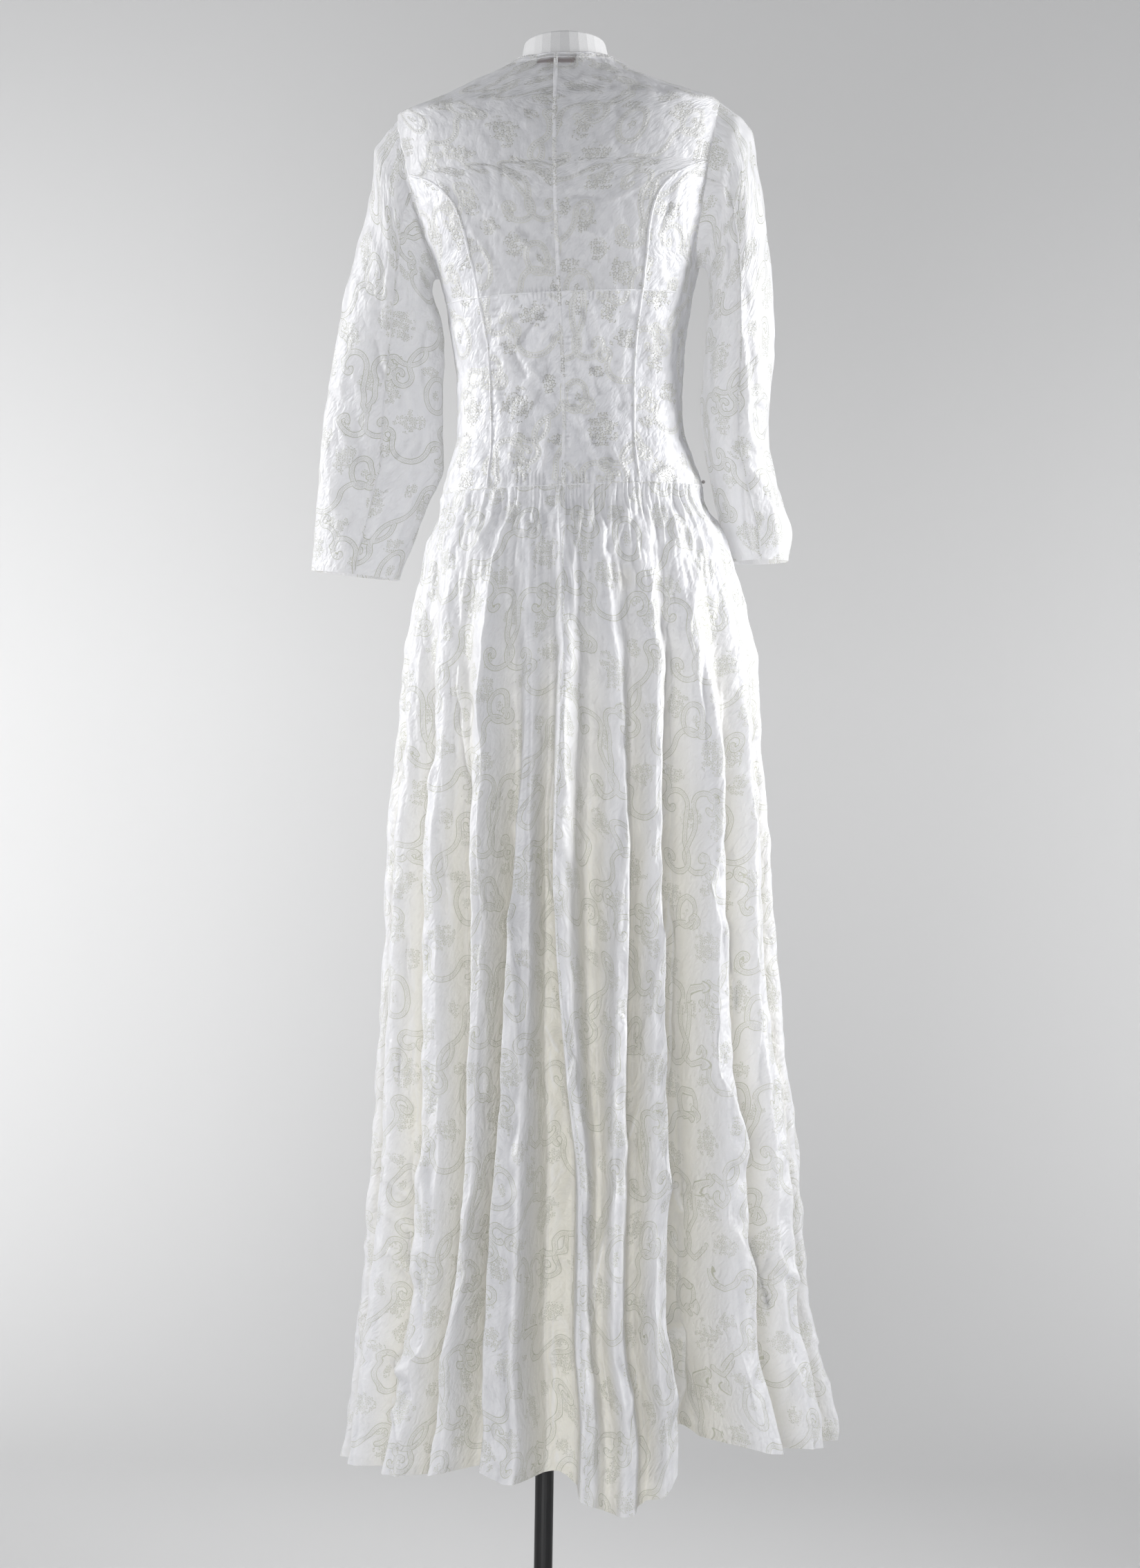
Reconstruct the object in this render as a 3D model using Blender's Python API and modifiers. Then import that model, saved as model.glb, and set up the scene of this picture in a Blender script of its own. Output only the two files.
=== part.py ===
# Long-sleeved maxi dress on a dress form stand.
# Sizes are in metres and +Z is up. The dress's back faces -Y, its wearer would look along +Y,
# and the origin is on the floor under the centre of the stand's foot.

import math
from collections import namedtuple
from functools import lru_cache

import bmesh
import bpy
from mathutils import Matrix, Vector

COLLECTION = "maxi_dress_on_stand"

# Cloth
WALL = 0.0012
SEAM_GAP = 0.0003
RISING_SPLIT = ((0, 1, 2), (0, 2, 3))
FALLING_SPLIT = ((0, 1, 3), (1, 2, 3))
ARMHOLE_GAP = 0.0006
SLOPE_STEP = 0.0005
LEAST_SLANT = 0.3

# Bodice heights, in the dress form's own upright frame
WAIST_SEAM = 1.376
MID_SEAM = 1.600
UNDERARM = 1.635
PRINCESS_TOP = 1.753
SHOULDER_TIP = 1.829
YOKE = 1.780
WAIST = 1.440

# How the dress form sits on its pole, as photographed
FORM_TILT = math.radians(2.6)
FORM_TURN = math.radians(-6.5)
FORM_SHIFT = -0.005
FORM_PIVOT = 1.88

# Dress form, pole and foot
BACK_CLEARANCE = 0.0036
FRONT_CLEARANCE = 0.0050
SHOULDER_CLEARANCE = 0.0052
HIP_CLEARANCE = 0.0065
FORM_BOTTOM = 1.185
FORM_COLUMNS = 28
NECK_CENTRE = 0.0040
POLE_RADIUS = 0.011
FOOT_RADIUS = 0.200
SOCKET_FLOOR = 0.014
SOCKET_TOP = 0.055

# Label and button
LABEL_WIDTH = 0.044
LABEL_TOP = 1.8832
LABEL_BOTTOM = 1.8737
LABEL_THICKNESS = 0.0006
BUTTON_RADIUS = 0.0021
BUTTON_HEIGHT = 1.381

# Outer face of the fitted bodice, by height, and the form's hips below it
Section = namedtuple("Section", "height centre half_width back front")
TORSO = (
    Section(1.190, -0.0010, 0.158, 0.116, 0.110),
    Section(1.240, -0.0010, 0.162, 0.119, 0.113),
    Section(1.300, -0.0015, 0.160, 0.118, 0.112),
    Section(1.376, -0.0020, 0.1540, 0.112, 0.108),
    Section(1.406, -0.0030, 0.1450, 0.103, 0.101),
    Section(1.443, -0.0030, 0.1355, 0.092, 0.094),
    Section(1.484, -0.0030, 0.1328, 0.086, 0.091),
    Section(1.519, -0.0022, 0.1342, 0.087, 0.097),
    Section(1.566, -0.0010, 0.1400, 0.095, 0.113),
    Section(1.601, -0.0002, 0.1457, 0.102, 0.126),
    Section(1.640, -0.0008, 0.1555, 0.108, 0.130),
    Section(1.690, -0.0018, 0.1730, 0.112, 0.119),
    Section(1.750, -0.0032, 0.1865, 0.110, 0.101),
    Section(1.790, -0.0045, 0.1900, 0.102, 0.089),
    Section(1.829, -0.0060, 0.1915, 0.086, 0.074),
    Section(1.840, -0.0055, 0.1650, 0.080, 0.069),
    Section(1.8555, -0.0045, 0.1240, 0.073, 0.064),
    Section(1.872, -0.0020, 0.0850, 0.064, 0.058),
    Section(1.880, 0.0010, 0.0700, 0.060, 0.056),
    Section(1.887, 0.0030, 0.0580, 0.056, 0.054),
)
SQUARENESS = 2.4

# Levels of the dress form, then its neck
FORM_ROWS = (
    1.240, 1.310, 1.376, 1.406, 1.443, 1.484, 1.519, 1.566, 1.601,
    1.640, 1.690, 1.750, 1.790, 1.810, 1.829, 1.840, 1.8555, 1.872, 1.880,
)
Neck = namedtuple("Neck", "height radius slope")
NECK = (
    Neck(1.8860, 0.0525, 0.000),
    Neck(1.8930, 0.0508, 0.002),
    Neck(1.9045, 0.0482, 0.008),
    Neck(1.9060, 0.0468, 0.008),
)

# Princess seams, by their distance beside the centre line
Princess = namedtuple("Princess", "height back front")
PRINCESS = (
    Princess(1.376, 0.0893, 0.084),
    Princess(1.438, 0.0840, 0.076),
    Princess(1.472, 0.0840, 0.074),
    Princess(1.530, 0.0864, 0.076),
    Princess(1.600, 0.0960, 0.086),
    Princess(1.643, 0.1036, 0.094),
    Princess(1.676, 0.1090, 0.103),
    Princess(1.704, 0.1170, 0.114),
    Princess(1.723, 0.1290, 0.127),
    Princess(1.737, 0.1450, 0.142),
    Princess(1.753, 0.1760, 0.1688),
)

# Armhole, by its depth behind and in front of the side
Armhole = namedtuple("Armhole", "height back front")
ARMHOLE = (
    Armhole(1.635, 0.000, 0.000),
    Armhole(1.647, 0.025, 0.029),
    Armhole(1.667, 0.039, 0.045),
    Armhole(1.690, 0.046, 0.053),
    Armhole(1.712, 0.048, 0.055),
    Armhole(1.733, 0.047, 0.053),
    Armhole(1.745, 0.046, 0.051),
    Armhole(1.753, 0.045, 0.050),
    Armhole(1.772, 0.040, 0.044),
    Armhole(1.790, 0.033, 0.036),
    Armhole(1.810, 0.022, 0.024),
    Armhole(1.829, 0.000, 0.000),
)
SLEEVE_SEAM = 1.733

# Heights of the bodice's rows of points
LOWER_ROWS = (1.376, 1.398, 1.424, 1.454, 1.484, 1.516, 1.556, 1.600)
SIDE_ROWS = (1.600, 1.618, *(row.height for row in ARMHOLE if row.height <= PRINCESS_TOP))
YOKE_ROWS = (1.772, 1.790, 1.810, 1.829, 1.840, 1.8555, 1.872, 1.880, 1.887)

# Sleeves, ring by ring down to the cuff: outer and inner edge, distances from the stand's axis
SleeveRing = namedtuple("SleeveRing", "outer_x outer_z inner_x inner_z half_depth centre_y")
LEFT_SLEEVE = (
    SleeveRing(0.2120, 1.8040, 0.1520, 1.6290, 0.050, 0.026),
    SleeveRing(0.2256, 1.7780, 0.1550, 1.6230, 0.051, 0.027),
    SleeveRing(0.2285, 1.7445, 0.1560, 1.6150, 0.052, 0.028),
    SleeveRing(0.2337, 1.7133, 0.1540, 1.6060, 0.051, 0.029),
    SleeveRing(0.2430, 1.6780, 0.1500, 1.5930, 0.049, 0.030),
    SleeveRing(0.2523, 1.6436, 0.1450, 1.5760, 0.047, 0.032),
    SleeveRing(0.2620, 1.6050, 0.1415, 1.5550, 0.043, 0.034),
    SleeveRing(0.2690, 1.5600, 0.1408, 1.5280, 0.038, 0.036),
    SleeveRing(0.2765, 1.5150, 0.1410, 1.4950, 0.032, 0.038),
    SleeveRing(0.2830, 1.4650, 0.1405, 1.4550, 0.028, 0.040),
    SleeveRing(0.2875, 1.4150, 0.1400, 1.4100, 0.026, 0.042),
    SleeveRing(0.2917, 1.3680, 0.1560, 1.3650, 0.031, 0.045),
    SleeveRing(0.2935, 1.3250, 0.1740, 1.3180, 0.034, 0.048),
    SleeveRing(0.2950, 1.2810, 0.1920, 1.2710, 0.035, 0.050),
)
RIGHT_SLEEVE = (
    SleeveRing(0.2020, 1.8230, 0.1660, 1.6420, 0.050, -0.022),
    SleeveRing(0.2125, 1.8130, 0.1700, 1.6380, 0.051, -0.020),
    SleeveRing(0.2210, 1.8000, 0.1725, 1.6320, 0.053, -0.018),
    SleeveRing(0.2263, 1.7634, 0.1735, 1.6230, 0.055, -0.015),
    SleeveRing(0.2343, 1.7256, 0.1735, 1.6120, 0.057, -0.012),
    SleeveRing(0.2404, 1.6890, 0.1728, 1.5980, 0.059, -0.009),
    SleeveRing(0.2450, 1.6500, 0.1715, 1.5800, 0.061, -0.006),
    SleeveRing(0.2485, 1.6020, 0.1700, 1.5550, 0.063, -0.002),
    SleeveRing(0.2508, 1.5500, 0.1680, 1.5220, 0.064, 0.002),
    SleeveRing(0.2490, 1.5000, 0.1665, 1.4850, 0.065, 0.006),
    SleeveRing(0.2470, 1.4500, 0.1700, 1.4450, 0.066, 0.010),
    SleeveRing(0.2550, 1.4030, 0.1780, 1.4030, 0.062, 0.016),
    SleeveRing(0.2680, 1.3600, 0.1880, 1.3600, 0.058, 0.023),
    SleeveRing(0.2765, 1.3300, 0.1950, 1.3300, 0.054, 0.028),
    SleeveRing(0.2744, 1.3000, 0.2040, 1.2970, 0.051, 0.032),
)

# Skirt: the size round the tops of its folds, by height
Ring = namedtuple("Ring", "height centre half_width back front")
SKIRT = (
    Ring(0.205, 0.0510, 0.2950, 0.276, 0.242),
    Ring(0.287, 0.0530, 0.2880, 0.266, 0.232),
    Ring(0.418, 0.0430, 0.2650, 0.248, 0.214),
    Ring(0.582, 0.0430, 0.2540, 0.230, 0.201),
    Ring(0.713, 0.0356, 0.2410, 0.214, 0.191),
    Ring(0.845, 0.0320, 0.2310, 0.202, 0.182),
    Ring(0.976, 0.0300, 0.2270, 0.192, 0.175),
    Ring(1.074, 0.0315, 0.2150, 0.180, 0.167),
    Ring(1.173, 0.0310, 0.2090, 0.169, 0.158),
    Ring(1.218, 0.0270, 0.1990, 0.159, 0.149),
    Ring(1.266, 0.0250, 0.1880, 0.148, 0.139),
    Ring(1.305, 0.0215, 0.1780, 0.137, 0.130),
    Ring(1.346, 0.0225, 0.1660, 0.125, 0.119),
    Ring(1.376, 0.0187, 0.1527, 0.112, 0.108),
)
SKIRT_ROWS = (
    0.0, 0.012, 0.030, 0.060, 0.100, 0.155, 0.23, 0.32,
    0.42, 0.52, 0.62, 0.72, 0.82, 0.91, 1.0,
)
KNEE = 0.935
SHIN = 0.525
HEM = 0.250
KNEE_SHARE = 0.39
DIP_GROWTH = 1.1
BLEND_DROP = 0.06
COLUMNS_PER_FOLD = 6
GATHERS_PER_FOLD = 3
GATHER_SPREAD = 0.3
GATHER_STEP = 2.3
GATHER_DRIFT = 5.0

# Folds of the skirt, one row for each ridge, with the dip that follows it.
# The angles run from the centre back towards the wearer's right, in degrees.
Fold = namedtuple("Fold", "waist knee shin hem drop knee_dip hem_dip")
FOLDS = (
    Fold(-88, -86, -86, -87, 0.000, 0.022, 0.030),
    Fold(-70, -68, -66, -66, 0.002, 0.045, 0.050),
    Fold(-52, -47, -43, -50, 0.004, 0.038, 0.055),
    Fold(-34, -30, -31, -36, 0.000, 0.055, 0.050),
    Fold(-19, -17, -21, -22, 0.016, 0.055, 0.085),
    Fold(-5, -7, -1, -1, 0.000, 0.040, 0.022),
    Fold(8, 13, 8, 9, 0.006, 0.040, 0.040),
    Fold(24, 23, 20, 18, 0.006, 0.052, 0.092),
    Fold(37, 40, 39, 42, 0.000, 0.034, 0.060),
    Fold(57, 62, 61, 63, 0.002, 0.024, 0.036),
    Fold(78, 86, 86, 87, 0.000, 0.030, 0.045),
    Fold(102, 105, 104, 106, 0.004, 0.036, 0.056),
    Fold(122, 123, 124, 123, 0.000, 0.040, 0.058),
    Fold(142, 142, 142, 143, 0.006, 0.034, 0.050),
    Fold(161, 160, 161, 160, 0.000, 0.042, 0.062),
    Fold(180, 181, 179, 180, 0.004, 0.036, 0.054),
    Fold(199, 198, 199, 201, 0.000, 0.042, 0.060),
    Fold(218, 218, 217, 217, 0.006, 0.036, 0.050),
    Fold(236, 236, 237, 235, 0.002, 0.038, 0.056),
    Fold(254, 255, 255, 254, 0.002, 0.032, 0.046),
)
CENTRE_BACK_FOLD = 5
RIGHT_SIDE_FOLD = 10

# Depth of the waist gathers, by the share of the skirt's length below the seam
Gather = namedtuple("Gather", "share depth")
GATHERS = (
    Gather(0.0, 0.0010),
    Gather(0.012, 0.0026),
    Gather(0.030, 0.0034),
    Gather(0.060, 0.0030),
    Gather(0.100, 0.0020),
    Gather(0.155, 0.0008),
    Gather(0.23, 0.0),
    Gather(1.0, 0.0),
)

# Height of the hem round the skirt
Hem = namedtuple("Hem", "angle height")
HEMLINE = (
    Hem(-180, 0.246),
    Hem(-120, 0.242),
    Hem(-88, 0.233),
    Hem(-66, 0.239),
    Hem(-44, 0.241),
    Hem(-28, 0.257),
    Hem(-20, 0.243),
    Hem(-11, 0.249),
    Hem(-3, 0.232),
    Hem(8, 0.213),
    Hem(16, 0.232),
    Hem(23, 0.286),
    Hem(30, 0.300),
    Hem(42, 0.276),
    Hem(62, 0.269),
    Hem(87, 0.260),
    Hem(120, 0.252),
    Hem(180, 0.246),
)

FORM_POSE = (
    Matrix.Translation((FORM_SHIFT, 0, FORM_PIVOT))
    @ Matrix.Rotation(FORM_TURN, 4, "Z")
    @ Matrix.Rotation(-FORM_TILT, 4, "Y")
    @ Matrix.Translation((0, 0, -FORM_PIVOT))
)


@lru_cache(maxsize=None)
def column_curve(rows, column):
    """The places, values and slopes of one column of a table, for a curve without overshoot."""
    places = [row[0] for row in rows]
    values = [getattr(row, column) for row in rows]
    rises = [
        (values[i + 1] - values[i]) / (places[i + 1] - places[i]) for i in range(len(rows) - 1)
    ]
    slopes = [rises[0]]
    for before, after in zip(rises, rises[1:]):
        meeting = before * after
        slopes.append(2 * meeting / (before + after) if meeting > 0 else 0.0)
    slopes.append(rises[-1])
    return places, values, slopes


def read(rows, column, place):
    """A column's value at a place, on a smooth curve through the table's rows."""
    places, values, slopes = column_curve(rows, column)
    if place <= places[0]:
        return values[0]
    if place >= places[-1]:
        return values[-1]
    i = max(k for k in range(len(places) - 1) if places[k] <= place)
    span = places[i + 1] - places[i]
    t = (place - places[i]) / span
    return (
        values[i] * (1 + 2 * t) * (1 - t) ** 2
        + values[i + 1] * t * t * (3 - 2 * t)
        + slopes[i] * span * t * (1 - t) ** 2
        - slopes[i + 1] * span * t * t * (1 - t)
    )


def ease(t):
    """A smooth step from 0 to 1."""
    t = min(max(t, 0.0), 1.0)
    return t * t * (3 - 2 * t)


def oval_point(angle, half_width, back, front):
    """A point of a squarish oval, by its angle from the back towards the right."""
    side = half_width * math.sin(angle)
    depth = back if math.cos(angle) > 0 else front
    rear = depth * math.cos(angle)
    turn = math.atan2(side, rear)
    across = abs(math.sin(turn)) / half_width
    along = abs(math.cos(turn)) / depth
    radius = (across**SQUARENESS + along**SQUARENESS) ** (-1 / SQUARENESS)
    return Vector((radius * math.sin(turn), -radius * math.cos(turn), 0))


def body_point(angle, height):
    """A point of the bodice's outer face, in the form's own frame."""
    section = [read(TORSO, column, height) for column in ("half_width", "back", "front")]
    return oval_point(angle, *section) + Vector((read(TORSO, "centre", height), 0, height))


def body_normal(angle, height):
    """The outward direction of the bodice's face there."""
    step = SLOPE_STEP * 2
    across = body_point(angle + step, height) - body_point(angle - step, height)
    upward = body_point(angle, height + step) - body_point(angle, height - step)
    return across.cross(upward).normalized()


def share_left(ratio):
    """The other coordinate of a squarish oval of size one."""
    return max(1 - ratio**SQUARENESS, 0.0) ** (1 / SQUARENESS)


def angle_beside(distance, height):
    """The angle of the back's point that lies this far beside the centre line."""
    ratio = distance / read(TORSO, "half_width", height)
    return math.atan2(ratio, share_left(ratio))


def centre_back(height, side):
    """The centre back seam, straight down the middle on either side."""
    return -math.atan2(read(TORSO, "centre", height), read(TORSO, "half_width", height))


def side_seam(height, side):
    """The side seam."""
    return side * math.pi / 2


def armhole_back(height, side):
    """The armhole's edge on the back."""
    ratio = read(ARMHOLE, "back", height) / read(TORSO, "back", height)
    return side * math.atan2(share_left(ratio), ratio)


def armhole_front(height, side):
    """The armhole's edge on the front."""
    ratio = read(ARMHOLE, "front", height) / read(TORSO, "front", height)
    return side * (math.pi - math.atan2(share_left(ratio), ratio))


def princess_back(height, side):
    """The back princess seam."""
    return side * angle_beside(read(PRINCESS, "back", height), height)


def princess_front(height, side):
    """The front princess seam."""
    return side * (math.pi - angle_beside(read(PRINCESS, "front", height), height))


def back_edge(height, side):
    """Outer edge of the centre back: princess seam, armhole, then shoulder seam."""
    if height <= PRINCESS_TOP:
        return princess_back(height, side)
    if height < SHOULDER_TIP:
        return armhole_back(height, side)
    return side_seam(height, side)


def front_edge(height, side):
    """Outer edge of the centre front: princess seam, armhole, then shoulder seam."""
    if height <= PRINCESS_TOP:
        return princess_front(height, side)
    if height < SHOULDER_TIP:
        return armhole_front(height, side)
    return side_seam(height, side)


def side_back_edge(height, side):
    """Outer edge of the side back: side seam, then armhole."""
    return side_seam(height, side) if height < UNDERARM else armhole_back(height, side)


def side_front_edge(height, side):
    """Outer edge of the side front: side seam, then armhole."""
    return side_seam(height, side) if height < UNDERARM else armhole_front(height, side)


def half_gap(edge, height, side):
    """The angle that moves an edge by half a seam gap, measured square to the seam."""
    step = SLOPE_STEP
    angle = edge(height, side)
    across = (body_point(angle + step, height) - body_point(angle - step, height)) / (2 * step)
    below = body_point(edge(height - step, side), height - step)
    run = (body_point(angle, height) - below).normalized()
    slant = max(across.normalized().cross(run).length, LEAST_SLANT)
    return SEAM_GAP / 2 / slant / across.length


def make_material(name, colour, roughness, metallic=0.0):
    """A plain surface."""
    material = bpy.data.materials.new(name)
    material.use_nodes = True
    shader = material.node_tree.nodes["Principled BSDF"]
    shader.inputs["Base Color"].default_value = (*colour, 1)
    shader.inputs["Roughness"].default_value = roughness
    shader.inputs["Metallic"].default_value = metallic
    material.diffuse_color = (*colour, 1)
    return material


def add_object(name, mesh, material):
    """Put a finished mesh into the object's collection."""
    data = bpy.data.meshes.new(name)
    mesh.to_mesh(data)
    mesh.free()
    data.materials.append(material)
    data.shade_smooth()
    data.set_sharp_from_angle(angle=math.radians(50))
    piece = bpy.data.objects.new(name, data)
    bpy.data.collections[COLLECTION].objects.link(piece)
    return piece


def wall(name, outer, inner, material):
    """A closed cloth wall from two grids of points, rows upward and columns to the right.

    Each cell is split along its shorter diagonal, the same way on both faces.
    """
    mesh = bmesh.new()
    top = len(outer) - 1
    last = len(outer[0]) - 1
    face = [[mesh.verts.new(point) for point in row] for row in outer]
    lining = [[mesh.verts.new(point) for point in row] for row in inner]
    for r in range(top):
        for c in range(last):
            corners = ((r, c), (r, c + 1), (r + 1, c + 1), (r + 1, c))
            spots = [outer[i][j] for i, j in corners]
            rising = (spots[2] - spots[0]).length <= (spots[3] - spots[1]).length
            for picks in RISING_SPLIT if rising else FALLING_SPLIT:
                cells = [corners[k] for k in picks]
                mesh.faces.new([face[i][j] for i, j in cells])
                mesh.faces.new([lining[i][j] for i, j in reversed(cells)])
    for c in range(last):
        mesh.faces.new((face[0][c + 1], face[0][c], lining[0][c], lining[0][c + 1]))
        mesh.faces.new((face[top][c], face[top][c + 1], lining[top][c + 1], lining[top][c]))
    for r in range(top):
        mesh.faces.new((face[r][0], face[r + 1][0], lining[r + 1][0], lining[r][0]))
        mesh.faces.new((face[r + 1][last], face[r][last], lining[r][last], lining[r + 1][last]))
    return add_object(name, mesh, material)


def bodice_rows(heights, left, right, columns):
    """Outer and inner points of a fitted piece, between two edges that give an angle each."""
    outer = []
    inner = []
    for height in heights:
        start, end = left(height), right(height)
        angles = [start + (end - start) * c / columns for c in range(columns + 1)]
        faces = [body_point(angle, height) for angle in angles]
        depths = [body_normal(angle, height) * WALL for angle in angles]
        outer.append([FORM_POSE @ point for point in faces])
        inner.append([FORM_POSE @ (point - depth) for point, depth in zip(faces, depths)])
    return outer, inner


def bodice_piece(name, heights, near, far, columns, side, material):
    """A fitted piece on the right (side 1) or the left (side -1), with its seam gaps."""

    def near_edge(height):
        return near(height, side) + side * half_gap(near, height, side)

    def far_edge(height):
        return far(height, side) - side * half_gap(far, height, side)

    edges = (near_edge, far_edge) if side > 0 else (far_edge, near_edge)
    return wall(name, *bodice_rows(heights, *edges, columns), material)


def centre_front(heights, columns, material):
    """The front's middle piece, from princess seam to princess seam."""

    def right_edge(height):
        return front_edge(height, 1) + half_gap(front_edge, height, 1)

    def left_edge(height):
        return 2 * math.pi + front_edge(height, -1) - half_gap(front_edge, height, -1)

    return wall("centre_front", *bodice_rows(heights, right_edge, left_edge, columns), material)


def bodice(material):
    """The fitted pieces from the waist seam to the neckline."""
    lower = (LOWER_ROWS[0] + SEAM_GAP / 2, *LOWER_ROWS[1:-1], MID_SEAM - SEAM_GAP / 2)
    side_upper = (MID_SEAM + SEAM_GAP / 2, *SIDE_ROWS[1:])
    centre_upper = (*side_upper, *YOKE_ROWS)
    side_front = (lower[0], *LOWER_ROWS[1:], *SIDE_ROWS[1:])
    for side, word in ((1, "right"), (-1, "left")):
        pieces = (
            ("upper_centre_back", centre_upper, centre_back, back_edge, 8),
            ("upper_side_back", side_upper, princess_back, side_back_edge, 4),
            ("lower_centre_back", lower, centre_back, princess_back, 5),
            ("lower_side_back", lower, princess_back, side_seam, 4),
            ("side_front", side_front, side_front_edge, princess_front, 4),
        )
        for name, heights, near, far, columns in pieces:
            bodice_piece(f"{name}_{word}", heights, near, far, columns, side, material)
    centre_front((*side_front, *YOKE_ROWS), 14, material)


def ring_directions(rows):
    """Outward directions on a stack of closed rings, rows upward and points to the right."""
    last = len(rows) - 1
    count = len(rows[0])
    directions = []
    for r in range(len(rows)):
        above = rows[min(r + 1, last)]
        below = rows[max(r - 1, 0)]
        line = []
        for c in range(count):
            across = rows[r][(c + 1) % count] - rows[r][c - 1]
            upward = above[c] - below[c]
            line.append(across.cross(upward).normalized())
        directions.append(line)
    return directions


def ring_piece(name, rows, directions, start, columns, material):
    """The stretch of a stack of rings between two seams."""
    count = len(rows[0])
    picks = [(start + c) % count for c in range(columns + 1)]
    outer = []
    inner = []
    for row, line in zip(rows, directions):
        faces = [row[pick].copy() for pick in picks]
        first = (faces[1] - faces[0]).normalized() * SEAM_GAP / 2
        final = (faces[-2] - faces[-1]).normalized() * SEAM_GAP / 2
        faces[0] += first
        faces[-1] += final
        outer.append(faces)
        inner.append([point - line[pick] * WALL for point, pick in zip(faces, picks)])
    return wall(name, outer, inner, material)


def armhole_loop(side):
    """Points round an armhole: from the tip down the back to the underarm, then up the front."""
    heights = [row.height for row in ARMHOLE]
    back = [(armhole_back(height, side), height) for height in reversed(heights)]
    front = [(armhole_front(height, side), height) for height in heights[1:-1]]
    return back + front


def sleeve(name, side, rings, material):
    """A sleeve from its armhole to its cuff, open along its back seam."""
    middle = (SHOULDER_TIP + UNDERARM) / 2
    half_height = (SHOULDER_TIP - UNDERARM) / 2
    half_depth = max(row.back for row in ARMHOLE)
    loop = armhole_loop(side)
    top = []
    turns = []
    for angle, height in loop:
        point = body_point(angle, height)
        turns.append(math.atan2(-point.y / half_depth, (height - middle) / half_height))
        top.append(FORM_POSE @ point + Vector((side * ARMHOLE_GAP, 0, 0)))
    rows = [top]
    for ring in rings:
        outer_end = Vector((side * ring.outer_x, ring.centre_y, ring.outer_z))
        inner_end = Vector((side * ring.inner_x, ring.centre_y, ring.inner_z))
        centre = (outer_end + inner_end) / 2
        reach = (outer_end - inner_end) / 2
        rear = Vector((0, -ring.half_depth, 0))
        rows.append([centre + reach * math.cos(t) + rear * math.sin(t) for t in turns])
    seam = [height for angle, height in loop].index(SLEEVE_SEAM)
    if side > 0:
        rows = [row[::-1] for row in rows]
        seam = len(turns) - 1 - seam
    rows.reverse()
    directions = ring_directions(rows)
    return ring_piece(name, rows, directions, seam, len(turns), material)


def fold_angle(fold, height):
    """The direction of a fold's ridge at a height, in degrees."""
    Stop = namedtuple("Stop", "height angle")
    stops = (
        Stop(HEM, fold.hem),
        Stop(SHIN, fold.shin),
        Stop(KNEE, fold.knee),
        Stop(WAIST_SEAM, fold.waist),
    )
    return read(stops, "angle", height)


def skirt_point(column, share):
    """A point of the skirt: its column round the folds and its share of the way down."""
    index, part = divmod(column, COLUMNS_PER_FOLD)
    part /= COLUMNS_PER_FOLD
    fold = FOLDS[index]
    following = FOLDS[(index + 1) % len(FOLDS)]
    lap = 360 if index + 1 == len(FOLDS) else 0

    hem_angle = fold.hem + (following.hem + lap - fold.hem) * part
    hem_angle = (hem_angle + 180) % 360 - 180
    waist_angle = math.radians(fold.waist + (following.waist + lap - fold.waist) * part)
    seam_point = FORM_POSE @ body_point(waist_angle - FORM_TURN, WAIST_SEAM - SEAM_GAP / 2)
    hem_height = read(HEMLINE, "height", hem_angle)
    height = seam_point.z + (hem_height - seam_point.z) * share

    start = fold_angle(fold, height)
    angle = math.radians(start + (fold_angle(following, height) + lap - start) * part)
    section = [read(SKIRT, name, height) for name in ("half_width", "back", "front")]
    centre = Vector((read(SKIRT, "centre", height), 0, height))
    hanging = centre + oval_point(angle, *section)
    blend = ease((seam_point.z - height) / BLEND_DROP)
    place = seam_point.lerp(hanging, blend)
    place.z = height

    wave = (1 - math.cos(2 * math.pi * part)) / 2
    growth = min(share / KNEE_SHARE, 1.0) ** DIP_GROWTH
    lower = ease((share - KNEE_SHARE) / (1 - KNEE_SHARE))
    dip = fold.knee_dip + (fold.hem_dip - fold.knee_dip) * lower
    drop = fold.drop + (following.drop - fold.drop) * part
    inward = growth * (drop * (1 - wave) + dip * wave)
    gather = read(GATHERS, "depth", share)
    gather *= 1 + GATHER_SPREAD * math.sin(GATHER_STEP * index + GATHER_DRIFT * part)
    ripple = math.cos(2 * math.pi * GATHERS_PER_FOLD * part)
    lift = max(1 - share / GATHERS[1].share, 0.0)
    outward = gather * (ripple + lift) - inward
    spoke = Vector((place.x - centre.x, place.y, 0))
    return place + spoke.normalized() * outward


def skirt(material):
    """The gathered skirt: two back pieces and a front."""
    count = COLUMNS_PER_FOLD * len(FOLDS)
    rows = [[skirt_point(c, share) for c in range(count)] for share in reversed(SKIRT_ROWS)]
    directions = ring_directions(rows)
    for c, flat in enumerate(directions[-1]):
        turn = math.atan2(flat.x, -flat.y) - FORM_TURN
        directions[-1][c] = FORM_POSE.to_3x3() @ body_normal(turn, WAIST_SEAM)
    back = CENTRE_BACK_FOLD * COLUMNS_PER_FOLD
    right = RIGHT_SIDE_FOLD * COLUMNS_PER_FOLD
    ring_piece("skirt_back_left", rows, directions, 0, back, material)
    ring_piece("skirt_back_right", rows, directions, back, right - back, material)
    ring_piece("skirt_front", rows, directions, right, count - right, material)


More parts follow.
